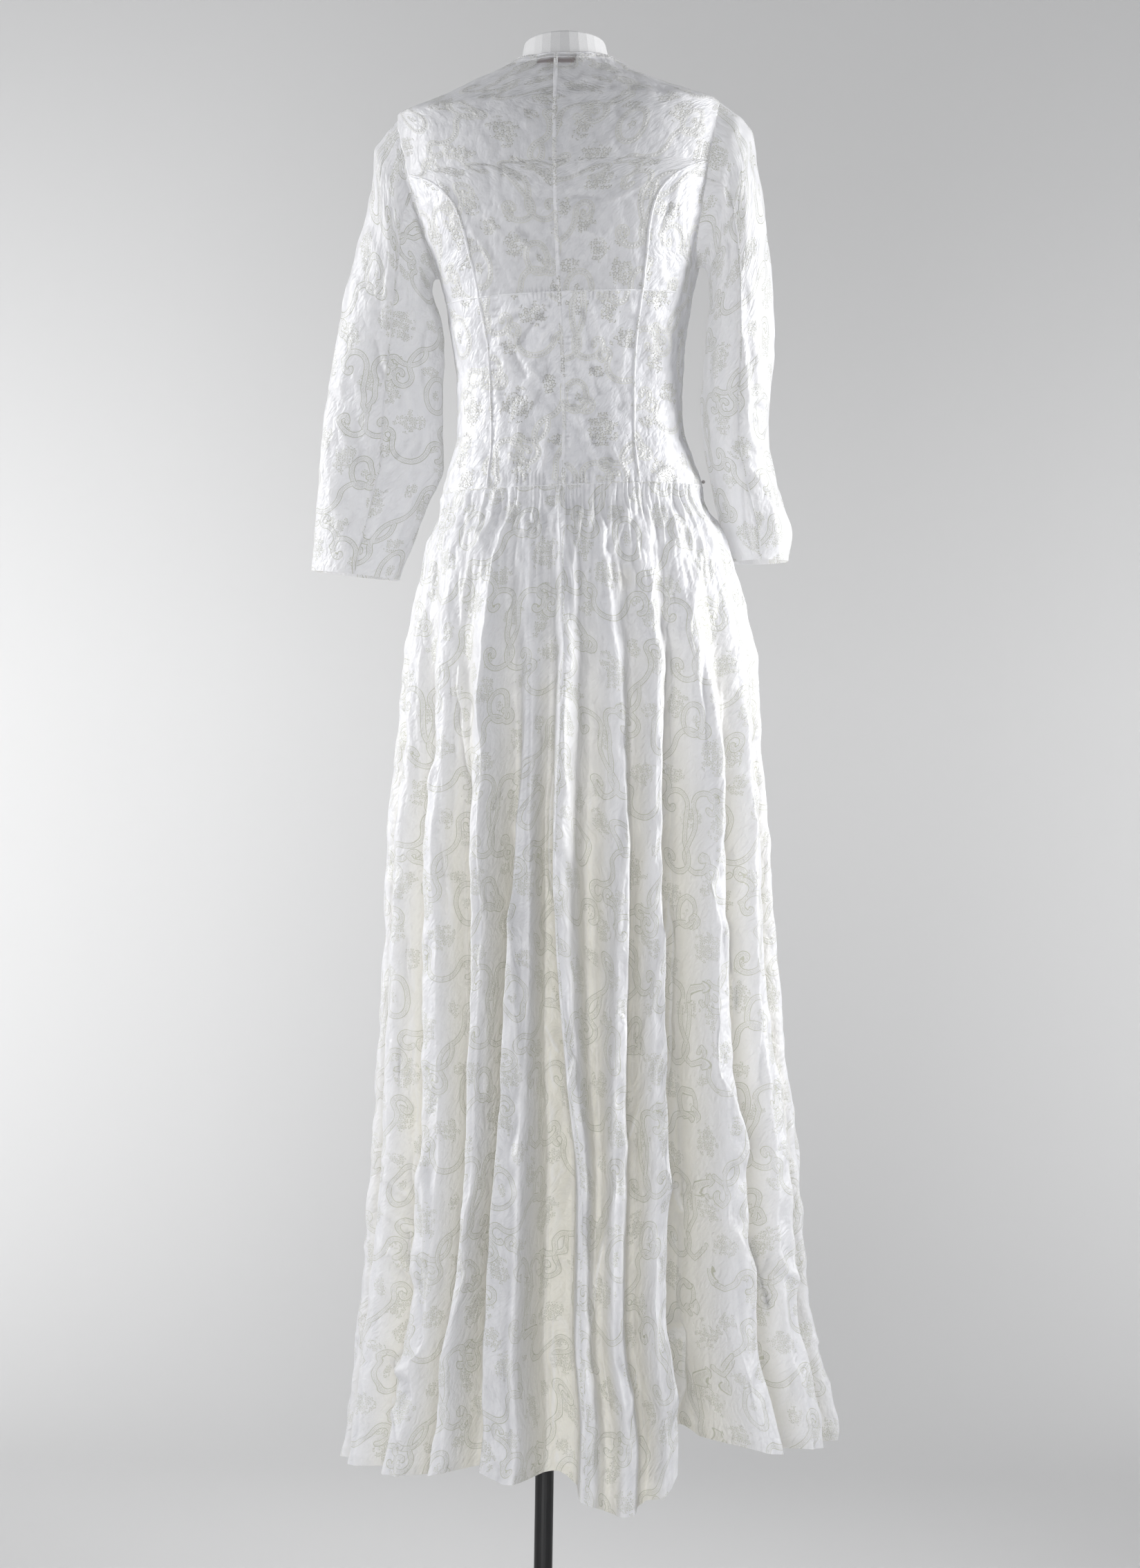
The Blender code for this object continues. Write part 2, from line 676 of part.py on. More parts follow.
def label(material):
    """The blank label inside the back neck."""
    columns = 6
    near = WALL + SEAM_GAP
    outer = []
    inner = []
    for height in (LABEL_BOTTOM, LABEL_TOP):
        reach = angle_beside(LABEL_WIDTH / 2, height)
        angles = [reach * (2 * c / columns - 1) for c in range(columns + 1)]
        faces = [body_point(angle, height) for angle in angles]
        lines = [body_normal(angle, height) for angle in angles]
        outer.append([FORM_POSE @ (p - n * near) for p, n in zip(faces, lines)])
        inner.append([FORM_POSE @ (p - n * (near + LABEL_THICKNESS)) for p, n in zip(faces, lines)])
    return wall("neck_label", outer, inner, material)


def button(material):
    """The small round button at the right end of the waist seam."""
    face = body_point(math.pi / 2, BUTTON_HEIGHT)
    out = body_normal(math.pi / 2, BUTTON_HEIGHT)
    mesh = bmesh.new()
    bmesh.ops.create_uvsphere(mesh, u_segments=12, v_segments=8, radius=BUTTON_RADIUS)
    piece = add_object("side_button", mesh, material)
    piece.location = FORM_POSE @ (face + out * (BUTTON_RADIUS + SEAM_GAP))
    return piece


def form_ring(height):
    """One level of the dress form, inside the bodice's cloth."""
    ring = []
    for c in range(FORM_COLUMNS):
        angle = 2 * math.pi * c / FORM_COLUMNS
        shoulder = ease((height - YOKE) / (SHOULDER_TIP - YOKE)) * math.sin(angle) ** 4
        hip = ease((WAIST - height) / (WAIST - WAIST_SEAM))
        front = (1 - math.cos(angle)) / 2
        inset = BACK_CLEARANCE + (FRONT_CLEARANCE - BACK_CLEARANCE) * front
        inset += (SHOULDER_CLEARANCE - inset) * shoulder
        inset += (HIP_CLEARANCE - inset) * hip
        ring.append(FORM_POSE @ (body_point(angle, height) - body_normal(angle, height) * inset))
    return ring


def neck_ring(height, radius, slope):
    """One level of the form's neck, whose top slopes down to the front."""
    ring = []
    for c in range(FORM_COLUMNS):
        angle = 2 * math.pi * c / FORM_COLUMNS
        rise = slope * math.cos(angle)
        point = (NECK_CENTRE + radius * math.sin(angle), -radius * math.cos(angle), height + rise)
        ring.append(FORM_POSE @ Vector(point))
    return ring


def dress_form(material):
    """The smooth limbless torso with its neck block."""
    lowest = [Vector((point.x, point.y, FORM_BOTTOM)) for point in form_ring(TORSO[0].height)]
    rings = [lowest] + [form_ring(height) for height in FORM_ROWS]
    rings += [neck_ring(ring.height, ring.radius, ring.slope) for ring in NECK]
    mesh = bmesh.new()
    levels = [[mesh.verts.new(point) for point in ring] for ring in rings]
    for below, above in zip(levels, levels[1:]):
        for c in range(FORM_COLUMNS):
            following = (c + 1) % FORM_COLUMNS
            mesh.faces.new((below[c], below[following], above[following], above[c]))
    mesh.faces.new(levels[-1])
    mesh.faces.new(levels[0][::-1])
    return add_object("form_torso", mesh, material)


def pole(material):
    """The straight pole from the foot's socket to the form."""
    bottom = SOCKET_FLOOR + SEAM_GAP
    length = FORM_BOTTOM - SEAM_GAP - bottom
    mesh = bmesh.new()
    bmesh.ops.create_cone(
        mesh, cap_ends=True, segments=24, radius1=POLE_RADIUS, radius2=POLE_RADIUS, depth=length
    )
    piece = add_object("stand_pole", mesh, material)
    piece.location.z = bottom + length / 2
    return piece


def foot(material):
    """The round foot, turned from a profile, with a socket for the pole."""
    bore = POLE_RADIUS + SEAM_GAP
    profile = (
        (0, SOCKET_FLOOR),
        (bore, SOCKET_FLOOR),
        (bore, SOCKET_TOP),
        (0.017, SOCKET_TOP),
        (0.019, SOCKET_TOP - 0.003),
        (0.022, 0.020),
        (0.030, 0.014),
        (FOOT_RADIUS - 0.012, 0.009),
        (FOOT_RADIUS - 0.002, 0.006),
        (FOOT_RADIUS, 0.003),
        (FOOT_RADIUS, 0),
        (0, 0),
    )
    data = bpy.data.meshes.new("stand_foot")
    edges = [(i, i + 1) for i in range(len(profile) - 1)]
    data.from_pydata([(x, 0, z) for x, z in profile], edges, [])
    data.materials.append(material)
    piece = bpy.data.objects.new("stand_foot", data)
    bpy.data.collections[COLLECTION].objects.link(piece)
    turn = piece.modifiers.new("turn", "SCREW")
    turn.axis = "Z"
    turn.steps = 24
    turn.render_steps = 24
    turn.use_merge_vertices = True
    turn.merge_threshold = 0.0001
    turn.use_smooth_shade = True
    return piece


def build():
    """Make every piece of the dress and of its stand."""
    for old in list(bpy.data.objects):
        bpy.data.objects.remove(old, do_unlink=True)
    collection = bpy.data.collections.new(COLLECTION)
    bpy.context.scene.collection.children.link(collection)
    voile = make_material("white_printed_voile", (0.86, 0.86, 0.88), 0.75)
    taupe = make_material("taupe_label", (0.42, 0.36, 0.36), 0.8)
    grey = make_material("grey_button", (0.32, 0.30, 0.29), 0.5)
    cover = make_material("pale_form_cover", (0.60, 0.60, 0.60), 0.45)
    black = make_material("black_stand", (0.012, 0.012, 0.012), 0.5, 0.3)
    bodice(voile)
    sleeve("sleeve_left", -1, LEFT_SLEEVE, voile)
    sleeve("sleeve_right", 1, RIGHT_SLEEVE, voile)
    skirt(voile)
    label(taupe)
    button(grey)
    dress_form(cover)
    pole(black)
    foot(black)


build()
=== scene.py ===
import math

import bpy
import numpy as np
from mathutils import Matrix, Vector, noise


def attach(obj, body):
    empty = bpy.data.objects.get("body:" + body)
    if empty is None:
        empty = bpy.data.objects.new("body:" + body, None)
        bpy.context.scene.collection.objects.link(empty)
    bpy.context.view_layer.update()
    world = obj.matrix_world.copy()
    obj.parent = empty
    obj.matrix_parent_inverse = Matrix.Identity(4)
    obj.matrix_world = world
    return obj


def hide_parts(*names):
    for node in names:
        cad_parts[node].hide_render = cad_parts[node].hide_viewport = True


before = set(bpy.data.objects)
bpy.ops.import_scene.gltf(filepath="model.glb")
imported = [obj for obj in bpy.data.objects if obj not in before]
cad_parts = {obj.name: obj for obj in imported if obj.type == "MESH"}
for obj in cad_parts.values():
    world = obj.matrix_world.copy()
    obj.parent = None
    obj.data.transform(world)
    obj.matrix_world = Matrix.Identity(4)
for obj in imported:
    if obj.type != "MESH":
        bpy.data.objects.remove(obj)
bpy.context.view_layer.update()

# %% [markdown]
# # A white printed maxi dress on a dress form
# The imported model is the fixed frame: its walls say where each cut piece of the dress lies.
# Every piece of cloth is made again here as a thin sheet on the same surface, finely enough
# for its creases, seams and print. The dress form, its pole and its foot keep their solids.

# %% [markdown]
# ## The view
# The photograph looks straight at the dress's back from 4.5 m away, with the lens a metre above
# the floor. A long lens keeps the upright lines parallel. The camera leans by less than a degree,
# so the dress leans to the right in the picture.

# %% Camera
VIEW_DISTANCE = 4.5
VIEW_HEIGHT = 1.03
VIEW_ASIDE = 0.0176
VIEW_ROLL = 0.0154
LENS = 87.1

lens_data = bpy.data.cameras.new("view")
lens_data.sensor_fit = "AUTO"
lens_data.sensor_width = 36
lens_data.lens = LENS
lens_data.clip_end = 50
camera = bpy.data.objects.new("view", lens_data)
camera.location = (VIEW_ASIDE, -VIEW_DISTANCE, VIEW_HEIGHT)
camera.rotation_euler = (math.pi / 2, -VIEW_ROLL, 0)
bpy.context.scene.collection.objects.link(camera)
bpy.context.scene.camera = camera
bpy.context.scene.view_settings.view_transform = "Standard"
print("camera", LENS, "mm")

# %% [markdown]
# ## Small tools
# Cloth sizes are kept in tables with named columns, and a smooth curve without overshoot is read
# between their rows. Points are numpy arrays, so that a whole sheet is worked out in one go.


# %% Tables and curves
def table(columns, *rows):
    """A table whose columns are arrays."""
    return dict(zip(columns.split(), np.array(rows, float).T))


def curve(places, values, at):
    """Values at some places on a smooth curve without overshoot through the given ones."""
    extra = (1,) * (values.ndim - 1)
    rises = np.diff(values, axis=0) / np.diff(places).reshape(-1, *extra)
    before, after = rises[:-1], rises[1:]
    total = np.where(np.abs(before + after) > 1e-12, before + after, 1)
    middle = np.where(before * after > 0, 2 * before * after / total, 0)
    slopes = np.concatenate([rises[:1], middle, rises[-1:]])
    at = np.clip(at, places[0], places[-1])
    i = np.clip(np.searchsorted(places, at, "right") - 1, 0, len(places) - 2)
    span = np.reshape(places[i + 1] - places[i], (*i.shape, *extra))
    t = np.reshape(at - places[i], (*i.shape, *extra)) / span
    start = values[i] * (1 + 2 * t) * (1 - t) ** 2 + slopes[i] * span * t * (1 - t) ** 2
    end = values[i + 1] * t * t * (3 - 2 * t) - slopes[i + 1] * span * t * t * (1 - t)
    return start + end


def read(rows, column, place):
    """A column's values at some places, on a smooth curve through the table's rows."""
    return curve(next(iter(rows.values())), rows[column], np.asarray(place, float))


def ease(t):
    """A smooth step from 0 to 1."""
    t = np.clip(t, 0, 1)
    return t * t * (3 - 2 * t)


# %% [markdown]
# ## The bodice's surface
# A fitted bodice follows the dress form, so one smooth surface carries all its pieces: a squarish
# oval at every height. A point on it is named by its angle, counted from the centre back towards
# the wearer's right, and its height. The seams are curves on that surface.

# %% Bodice sizes
WAIST_SEAM = 1.376
MID_SEAM = 1.600
UNDERARM = 1.635
PRINCESS_TOP = 1.753
SHOULDER_TIP = 1.829
NECKLINE = 1.887
SQUARENESS = 2.4

TORSO = table(
    "height centre half_width back front",
    (1.190, -0.0010, 0.1580, 0.116, 0.110),
    (1.240, -0.0010, 0.1620, 0.119, 0.113),
    (1.300, -0.0015, 0.1600, 0.118, 0.112),
    (1.376, -0.0020, 0.1540, 0.112, 0.108),
    (1.406, -0.0030, 0.1450, 0.103, 0.101),
    (1.443, -0.0030, 0.1355, 0.092, 0.094),
    (1.484, -0.0030, 0.1328, 0.086, 0.091),
    (1.519, -0.0022, 0.1342, 0.087, 0.097),
    (1.566, -0.0010, 0.1400, 0.095, 0.113),
    (1.601, -0.0002, 0.1457, 0.102, 0.126),
    (1.640, -0.0008, 0.1555, 0.108, 0.130),
    (1.690, -0.0018, 0.1730, 0.112, 0.119),
    (1.750, -0.0032, 0.1865, 0.110, 0.101),
    (1.790, -0.0045, 0.1900, 0.102, 0.089),
    (1.829, -0.0060, 0.1915, 0.086, 0.074),
    (1.840, -0.0055, 0.1650, 0.080, 0.069),
    (1.8555, -0.0045, 0.1240, 0.073, 0.064),
    (1.872, -0.0020, 0.0850, 0.064, 0.058),
    (1.880, 0.0010, 0.0700, 0.060, 0.056),
    (1.887, 0.0030, 0.0580, 0.056, 0.054),
)
PRINCESS = table(
    "height back front",
    (1.376, 0.0893, 0.0840),
    (1.438, 0.0840, 0.0760),
    (1.472, 0.0840, 0.0740),
    (1.530, 0.0864, 0.0760),
    (1.600, 0.0960, 0.0860),
    (1.643, 0.1036, 0.0940),
    (1.676, 0.1090, 0.1030),
    (1.704, 0.1170, 0.1140),
    (1.723, 0.1290, 0.1270),
    (1.737, 0.1450, 0.1420),
    (1.753, 0.1760, 0.1688),
)
ARMHOLE = table(
    "height back front",
    (1.635, 0.000, 0.000),
    (1.647, 0.025, 0.029),
    (1.667, 0.039, 0.045),
    (1.690, 0.046, 0.053),
    (1.712, 0.048, 0.055),
    (1.733, 0.047, 0.053),
    (1.745, 0.046, 0.051),
    (1.753, 0.045, 0.050),
    (1.772, 0.040, 0.044),
    (1.790, 0.033, 0.036),
    (1.810, 0.022, 0.024),
    (1.829, 0.000, 0.000),
)

# %% [markdown]
# The dress form stands a little turned and tilted on its pole, so everything that fits it is
# worked out upright and then turned with it.

# %% The form's turn and the bodice's surface
FORM_TILT = math.radians(2.6)
FORM_TURN = math.radians(-6.5)
FORM_PIVOT = 1.88
FORM_POSE = np.array(
    Matrix.Translation((-0.005, 0, FORM_PIVOT))
    @ Matrix.Rotation(FORM_TURN, 4, "Z")
    @ Matrix.Rotation(-FORM_TILT, 4, "Y")
    @ Matrix.Translation((0, 0, -FORM_PIVOT))
)


def stand(points):
    """Turn points of the upright form to where the form stands."""
    return points @ FORM_POSE[:3, :3].T + FORM_POSE[:3, 3]


def oval(angle, half_width, back, front):
    """Points of a squarish oval, by their angle from the back towards the right."""
    depth = np.where(np.cos(angle) > 0, back, front)
    turn = np.arctan2(half_width * np.sin(angle), depth * np.cos(angle))
    across = np.abs(np.sin(turn)) / half_width
    along = np.abs(np.cos(turn)) / depth
    radius = (across**SQUARENESS + along**SQUARENESS) ** (-1 / SQUARENESS)
    return np.stack([radius * np.sin(turn), -radius * np.cos(turn), 0 * radius], -1)


def torso(angle, height):
    """Points of the bodice's face on the upright form."""
    angle, height = np.broadcast_arrays(angle, height)
    sizes = [read(TORSO, column, height) for column in ("half_width", "back", "front")]
    points = oval(angle, *sizes)
    points[..., 0] += read(TORSO, "centre", height)
    points[..., 2] += height
    return points


# %% Seam lines of the bodice
def share_left(ratio):
    """The other coordinate of a squarish oval of size one."""
    return np.maximum(1 - ratio**SQUARENESS, 0) ** (1 / SQUARENESS)


def centre_back(height, side):
    """The centre back seam."""
    return -np.arctan2(read(TORSO, "centre", height), read(TORSO, "half_width", height))


def side_seam(height, side):
    """The side seam."""
    return side * math.pi / 2 + 0 * height


def princess_back(height, side):
    """The back princess seam."""
    ratio = read(PRINCESS, "back", height) / read(TORSO, "half_width", height)
    return side * np.arctan2(ratio, share_left(ratio))


def princess_front(height, side):
    """The front princess seam."""
    ratio = read(PRINCESS, "front", height) / read(TORSO, "half_width", height)
    return side * (math.pi - np.arctan2(ratio, share_left(ratio)))


def armhole_back(height, side):
    """The armhole's edge on the back."""
    ratio = read(ARMHOLE, "back", height) / read(TORSO, "back", height)
    return side * np.arctan2(share_left(ratio), ratio)


def armhole_front(height, side):
    """The armhole's edge on the front."""
    ratio = read(ARMHOLE, "front", height) / read(TORSO, "front", height)
    return side * (math.pi - np.arctan2(share_left(ratio), ratio))


def yoke_edge(height, side, princess, armhole):
    """A middle piece's edge: princess seam, then armhole, then shoulder seam."""
    step = princess(PRINCESS_TOP, side) - armhole(PRINCESS_TOP, side)
    upper = armhole(height, side) + step * (1 - ease((height - PRINCESS_TOP) / 0.006))
    upper = np.where(height < SHOULDER_TIP, upper, side_seam(height, side))
    return np.where(height <= PRINCESS_TOP, princess(height, side), upper)


def back_edge(height, side):
    """Outer edge of the centre back."""
    return yoke_edge(height, side, princess_back, armhole_back)


def front_edge(height, side):
    """Outer edge of the centre front."""
    return yoke_edge(height, side, princess_front, armhole_front)


def side_back_edge(height, side):
    """Outer edge of the side back: side seam, then armhole."""
    return np.where(height < UNDERARM, side_seam(height, side), armhole_back(height, side))


def side_front_edge(height, side):
    """Outer edge of the side front: side seam, then armhole."""
    return np.where(height < UNDERARM, side_seam(height, side), armhole_front(height, side))


# %% [markdown]
# ## Sheets from grids
# A sheet of cloth is a grid of points, rows upward and columns to the right, so that its faces
# look outwards. Its own map, in metres along the cloth, carries the weave and the print.


# %% Grid helpers
def directions(points, closed=False):
    """Outward directions on a grid of points."""
    if closed:
        ring = np.concatenate([points[:, -1:], points, points[:, :1]], 1)
        across = ring[:, 2:] - ring[:, :-2]
    else:
        across = np.gradient(points, axis=1)
    upward = np.gradient(points, axis=0)
    out = np.cross(across, upward)
    return out / np.maximum(np.linalg.norm(out, axis=-1, keepdims=True), 1e-12)


def cloth_map(points):
    """Where each point lies on the flat cloth: its distance beside the middle column and up it."""
    middle = points.shape[1] // 2
    steps = np.linalg.norm(np.diff(points, axis=1), axis=-1)
    beside = np.concatenate([np.zeros((len(points), 1)), np.cumsum(steps, 1)], 1)
    beside -= beside[:, middle : middle + 1]
    rises = np.linalg.norm(np.diff(points[:, middle], axis=0), axis=-1)
    up = np.concatenate([[0], np.cumsum(rises)])
    return np.stack([beside, np.broadcast_to(up[:, None], beside.shape)], -1)


CLOTH = {}
HOLLOW_SLOPE = 0.9


def mark(piece, name, values):
    """Store a value at every point of a piece."""
    layer = piece.data.attributes.new(name, "FLOAT", "POINT")
    layer.data.foreach_set("value", values.reshape(-1).astype(np.float32))


def hollows(points):
    """Where a grid of points dips below its neighbours, to 1, or stands above them, to -1."""
    out = directions(points)
    dip = np.zeros(points.shape[:2])
    for axis in (0, 1):
        for reach in (1, 3):
            if points.shape[axis] <= 2 * reach + 1:
                continue
            ahead = np.roll(points, -reach, axis)
            behind = np.roll(points, reach, axis)
            size = np.linalg.norm(ahead - behind, axis=-1) / 2
            rise = ((ahead + behind - 2 * points) * out).sum(-1) / np.maximum(size, 1e-5)
            rise = np.moveaxis(rise, axis, 0)
            rise[:reach] = 0
            rise[-reach:] = 0
            dip += np.moveaxis(rise, 0, axis)
    return np.clip(dip / HOLLOW_SLOPE, -1, 1)


def sheet(name, points, flat, doubled):
    """A single sheet of cloth from a grid of points, with its map and where it lies double."""
    rows, columns = points.shape[:2]
    index = np.arange(rows * columns).reshape(rows, columns)
    faces = np.stack([index[:-1, :-1], index[:-1, 1:], index[1:, 1:], index[1:, :-1]], -1)
    faces = faces.reshape(-1, 4)
    data = bpy.data.meshes.new(name)
    data.vertices.add(rows * columns)
    data.vertices.foreach_set("co", points.reshape(-1).astype(np.float32))
    data.loops.add(faces.size)
    data.loops.foreach_set("vertex_index", faces.reshape(-1).astype(np.int32))
    data.polygons.add(len(faces))
    data.polygons.foreach_set("loop_start", np.arange(0, faces.size, 4, dtype=np.int32))
    data.update(calc_edges=True)
    data.shade_smooth()
    corner = flat.reshape(-1, 2)[faces.reshape(-1)]
    data.uv_layers.new(name="cloth").data.foreach_set("uv", corner.reshape(-1).astype(np.float32))
    piece = bpy.data.objects.new(name, data)
    mark(piece, "doubled", doubled)
    # The hollow mask later paints shade into creases and a highlight onto crests.
    mark(piece, "hollow", hollows(points))
    bpy.context.scene.collection.objects.link(piece)
    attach(piece, "root")
    CLOTH[name] = {"piece": piece, "corner": corner}
    return piece


# %% [markdown]
# ## Creases
# Thin cotton that has been folded and hung keeps creases that no simulation would put in the
# same place. The main ones are listed one by one, each as a line over the dress with its own
# height and width, negative for a trough. Between them a fine crumple is worked out from noise.


# %% Crease tools
CREST_ROUNDNESS = 1.3
FADE_IN = 0.22
FADE_OUT = 0.3
END_WIDTH = 0.55
STEEPEST = 0.6
PUCKER_END = 0.01


def crease_relief(x, z, creases):
    """How far creases lift the cloth. A row holds the height, then the width to the left and to
    the right of the line, then the line's places beside and above the stand's foot, all in
    millimetres. Uneven widths make the edge of a fold that lies over its neighbour."""
    lift = np.zeros(x.shape)
    for height, left, right, *line in creases:
        stops = np.array(line, float).reshape(-1, 2) / 1000
        reach = 0.0025 * max(left, right)
        low, high = stops.min(0) - reach, stops.max(0) + reach
        inside = (x > low[0]) & (x < high[0]) & (z > low[1]) & (z < high[1])
        near_x, near_z = x[inside], z[inside]
        lengths = np.linalg.norm(np.diff(stops, axis=0), axis=1)
        nearest = np.full(near_x.shape, 9.0)
        place, width = np.zeros(near_x.shape), np.ones(near_x.shape)
        done = 0.0
        for start, way, length in zip(stops, np.diff(stops, axis=0), lengths):
            t = ((near_x - start[0]) * way[0] + (near_z - start[1]) * way[1]) / length**2
            t = np.clip(t, 0, 1)
            aside_x, aside_z = near_x - start[0] - t * way[0], near_z - start[1] - t * way[1]
            gap = np.hypot(aside_x, aside_z)
            closer = gap < nearest
            place = np.where(closer, done + t * length, place)
            turn = way[0] * aside_z - way[1] * aside_x
            width = np.where(closer, np.where(turn > 0, right, left), width)
            nearest = np.where(closer, gap, nearest)
            done += length
        share = place / done
        taper = ease(share / FADE_IN) * ease((1 - share) / FADE_OUT)
        widest = np.maximum(width, STEEPEST * abs(height)) / 1000
        spread = widest * (END_WIDTH + (1 - END_WIDTH) * taper)
        lift[inside] += height / 1000 * taper * np.exp(-((nearest / spread) ** CREST_ROUNDNESS))
    return lift


def pucker_relief(x, z, puckers):
    """Small puckers that a tight seam draws. A row holds their height, width and spacing, then
    where the seam starts and ends, all in millimetres."""
    lift = np.zeros(x.shape)
    for height, width, spacing, *line in puckers:
        start, end = np.array(line, float).reshape(2, 2) / 1000
        way = end - start
        length = np.linalg.norm(way)
        along = ((x - start[0]) * way[0] + (z - start[1]) * way[1]) / length
        gap = ((z - start[1]) * way[0] - (x - start[0]) * way[1]) / length
        step = along * 1000 / spacing
        wave = np.sin(2 * math.pi * step + 1.9 * np.sin(1.3 * step) + 60 * gap)
        uneven = 0.55 + 0.45 * np.sin(0.9 * step + 2.0) * np.sin(0.37 * step)
        reach = width / 1000 * (0.7 + 0.5 * np.sin(2.1 * step) ** 2)
        inside = ease(along / PUCKER_END) * ease((length - along) / PUCKER_END)
        lift += height / 1000 * wave * uneven * inside * np.exp(-((gap / reach) ** 2))
    return lift


def crumple(points, size, stretch, seed):
    """Smooth noise over some points, from -1 to 1, drawn out upright by the stretch."""
    flat = points.reshape(-1, 3) / (size, size, size * stretch) + seed
    values = [noise.noise(Vector(place)) for place in flat.tolist()]
    return np.clip(2 * np.array(values), -1, 1).reshape(points.shape[:-1])


# %% Creases of the bodice
BACK_CREASES = (
    (1, 4, 4, -9, 1845, 33, 1854),
    (0.8, 5, 5, 1, 1827, 49, 1838),
    (0.7, 6, 6, -135, 1817, -95, 1810, -62, 1806),
    (0.9, 5, 5, 89, 1837, 114, 1821, 138, 1813),
    (1, 3, 3, 10, 1729, 17, 1743, 25, 1765),
    (-0.8, 4, 4, 1, 1710, 27, 1709, 51, 1706),
    (1, 4, 4, 43, 1700, 67, 1710, 103, 1731),
    (1, 4, 4, -73, 1742, -57, 1728, -37, 1721),
    (0.8, 3, 3, -94, 1747, -76, 1738),
    (-1.4, 5, 5, -57, 1675, -46, 1666, -35, 1662),
    (1.3, 5, 5, -53, 1664, -40, 1650, -30, 1637),
    (1.2, 4, 4, -112, 1679, -97, 1657, -87, 1641, -79, 1621, -75, 1606),
    (0.9, 5, 5, -101, 1697, -80, 1674, -64, 1658),
    (1, 5, 5, 20, 1675, 44, 1659, 52, 1636),
    (-1.2, 5, 5, -178, 1737, -164, 1675, -147, 1624, -134, 1593),
    (1.2, 4, 4, -170, 1737, -163, 1720, -156, 1701),
    (1, 4, 4, -174, 1728, -163, 1688, -150, 1648),
    (1, 4, 4, -148, 1654, -138, 1629, -128, 1605),
    (0.8, 4, 4, -153, 1721, -141, 1689, -128, 1665),
    (1.2, 5, 5, 135, 1733, 128, 1701, 116, 1669),
    (-1.2, 4, 4, 127, 1713, 116, 1685, 108, 1664),
    (1, 4, 4, 148, 1701, 144, 1661, 141, 1629),
    (0.8, 4, 4, 113, 1636, 119, 1612),
    (1.2, 5, 5, -11, 1593, -31, 1578, -59, 1562),
    (-1.2, 5, 5, -19, 1582, -39, 1558, -62, 1529),
    (1, 4, 4, -43, 1586, -63, 1574, -87, 1561),
    (1.2, 6, 6, -15, 1562, -34, 1522, -50, 1502),
    (1.4, 6, 6, -63, 1562, -46, 1526, -18, 1490),
    (-1, 5, 5, -58, 1538, -52, 1522, -38, 1498),
    (1, 5, 5, -30, 1490, -48, 1466, -61, 1449),
    (1, 4, 4, -79, 1505, -74, 1481, -65, 1457),
    (-1, 6, 6, -14, 1522, -24, 1490, -37, 1458),
    (1, 6, 6, -43, 1458, -53, 1425, -60, 1393),
    (1, 6, 6, -9, 1466, -17, 1426, -20, 1386),
    (0.8, 5, 5, -75, 1561, -66, 1521, -67, 1489),
    (-1, 4, 4, 21, 1587, 30, 1555, 38, 1523),
    (1.1, 5, 5, 29, 1595, 42, 1555, 53, 1515),
    (-0.9, 4, 4, 34, 1523, 40, 1499, 45, 1479),
    (1, 5, 5, 15, 1467, 32, 1427, 48, 1387),
    (0.8, 6, 6, 74, 1556, 70, 1507, 81, 1460),
    (1, 4, 4, 56, 1427, 68, 1403, 84, 1387),
    (1, 6, 6, 101, 1596, 111, 1572, 130, 1540),
    (1, 6, 6, -131, 1577, -113, 1537, -98, 1513),
    (-0.8, 5, 5, -99, 1585, -91, 1553, -86, 1521),
    (1, 6, 6, -118, 1489, -111, 1441, -111, 1392),
    (1.4, 3, 3, 108, 1386, 120, 1395, 132, 1404),
    (0.8, 6, 6, 93, 1580, 106, 1540, 111, 1492),
    (1, 6, 6, 142, 1557, 133, 1492, 140, 1428),
    (0.9, 5, 5, 119, 1460, 126, 1420, 132, 1388),
)
PUCKERS = (
    (0.8, 9, 5.2, -78, 1383, 168, 1380),
    (0.62, 7, 4.3, -58, 1596, 0, 1598.5),
    (0.5, 6, 4.6, 6, 1599, 96, 1597.5),
    (0.3, 6, 5, 172, 1530, 168, 1400),
    (0.25, 6, 4.8, 6, 1580, 10, 1390),
    (0.3, 7, 6, -72, 1390, -80, 1640),
)
FRONT_CREASES = (
    (1.2, 6, 6, -70, 1700, -50, 1640, -55, 1600),
    (1, 6, 6, 80, 1690, 55, 1630),
    (1.2, 6, 6, -110, 1660, -80, 1610, -70, 1560),
    (-1.2, 5, 5, 100, 1640, 85, 1590, 78, 1520),
    (1, 5, 5, 20, 1760, 0, 1735, -30, 1720),
    (1, 7, 7, 20, 1560, 35, 1500, 30, 1430),
    (-1, 6, 6, -30, 1540, -20, 1470, -30, 1400),
    (1, 5, 5, -60, 1480, -75, 1440, -80, 1400),
    (0.9, 5, 5, 110, 1460, 100, 1420, 105, 1395),
)
BODICE_CREASING = 1.7
FORM_GAP = 0.0022


def bodice_relief(points):
    """How far creases and crumples lift the bodice's cloth from its smooth surface."""
    x, y, z = points[..., 0], points[..., 1], points[..., 2]
    behind = ease((0.02 - y) / 0.04)
    lift = crease_relief(x, z, BACK_CREASES) * behind
    lift += crease_relief(x, z, FRONT_CREASES) * (1 - behind)
    lift += pucker_relief(x, z, PUCKERS) * behind
    lift = BODICE_CREASING * lift + 0.0010 * crumple(points, 0.026, 2.2, 3.0)
    lift += 0.0006 * crumple(points, 0.011, 1.3, 9.0)
    return np.maximum(lift, -FORM_GAP)


def bodice_points(angle, height):
    """Points of the creased bodice, where the form stands."""
    step = 0.001
    across = torso(angle + step, height) - torso(angle - step, height)
    upward = torso(angle, height + step) - torso(angle, height - step)
    out = np.cross(across, upward)
    out /= np.linalg.norm(out, axis=-1, keepdims=True)
    points = stand(torso(angle, height))
    return points + (out @ FORM_POSE[:3, :3].T) * bodice_relief(points)[..., None]


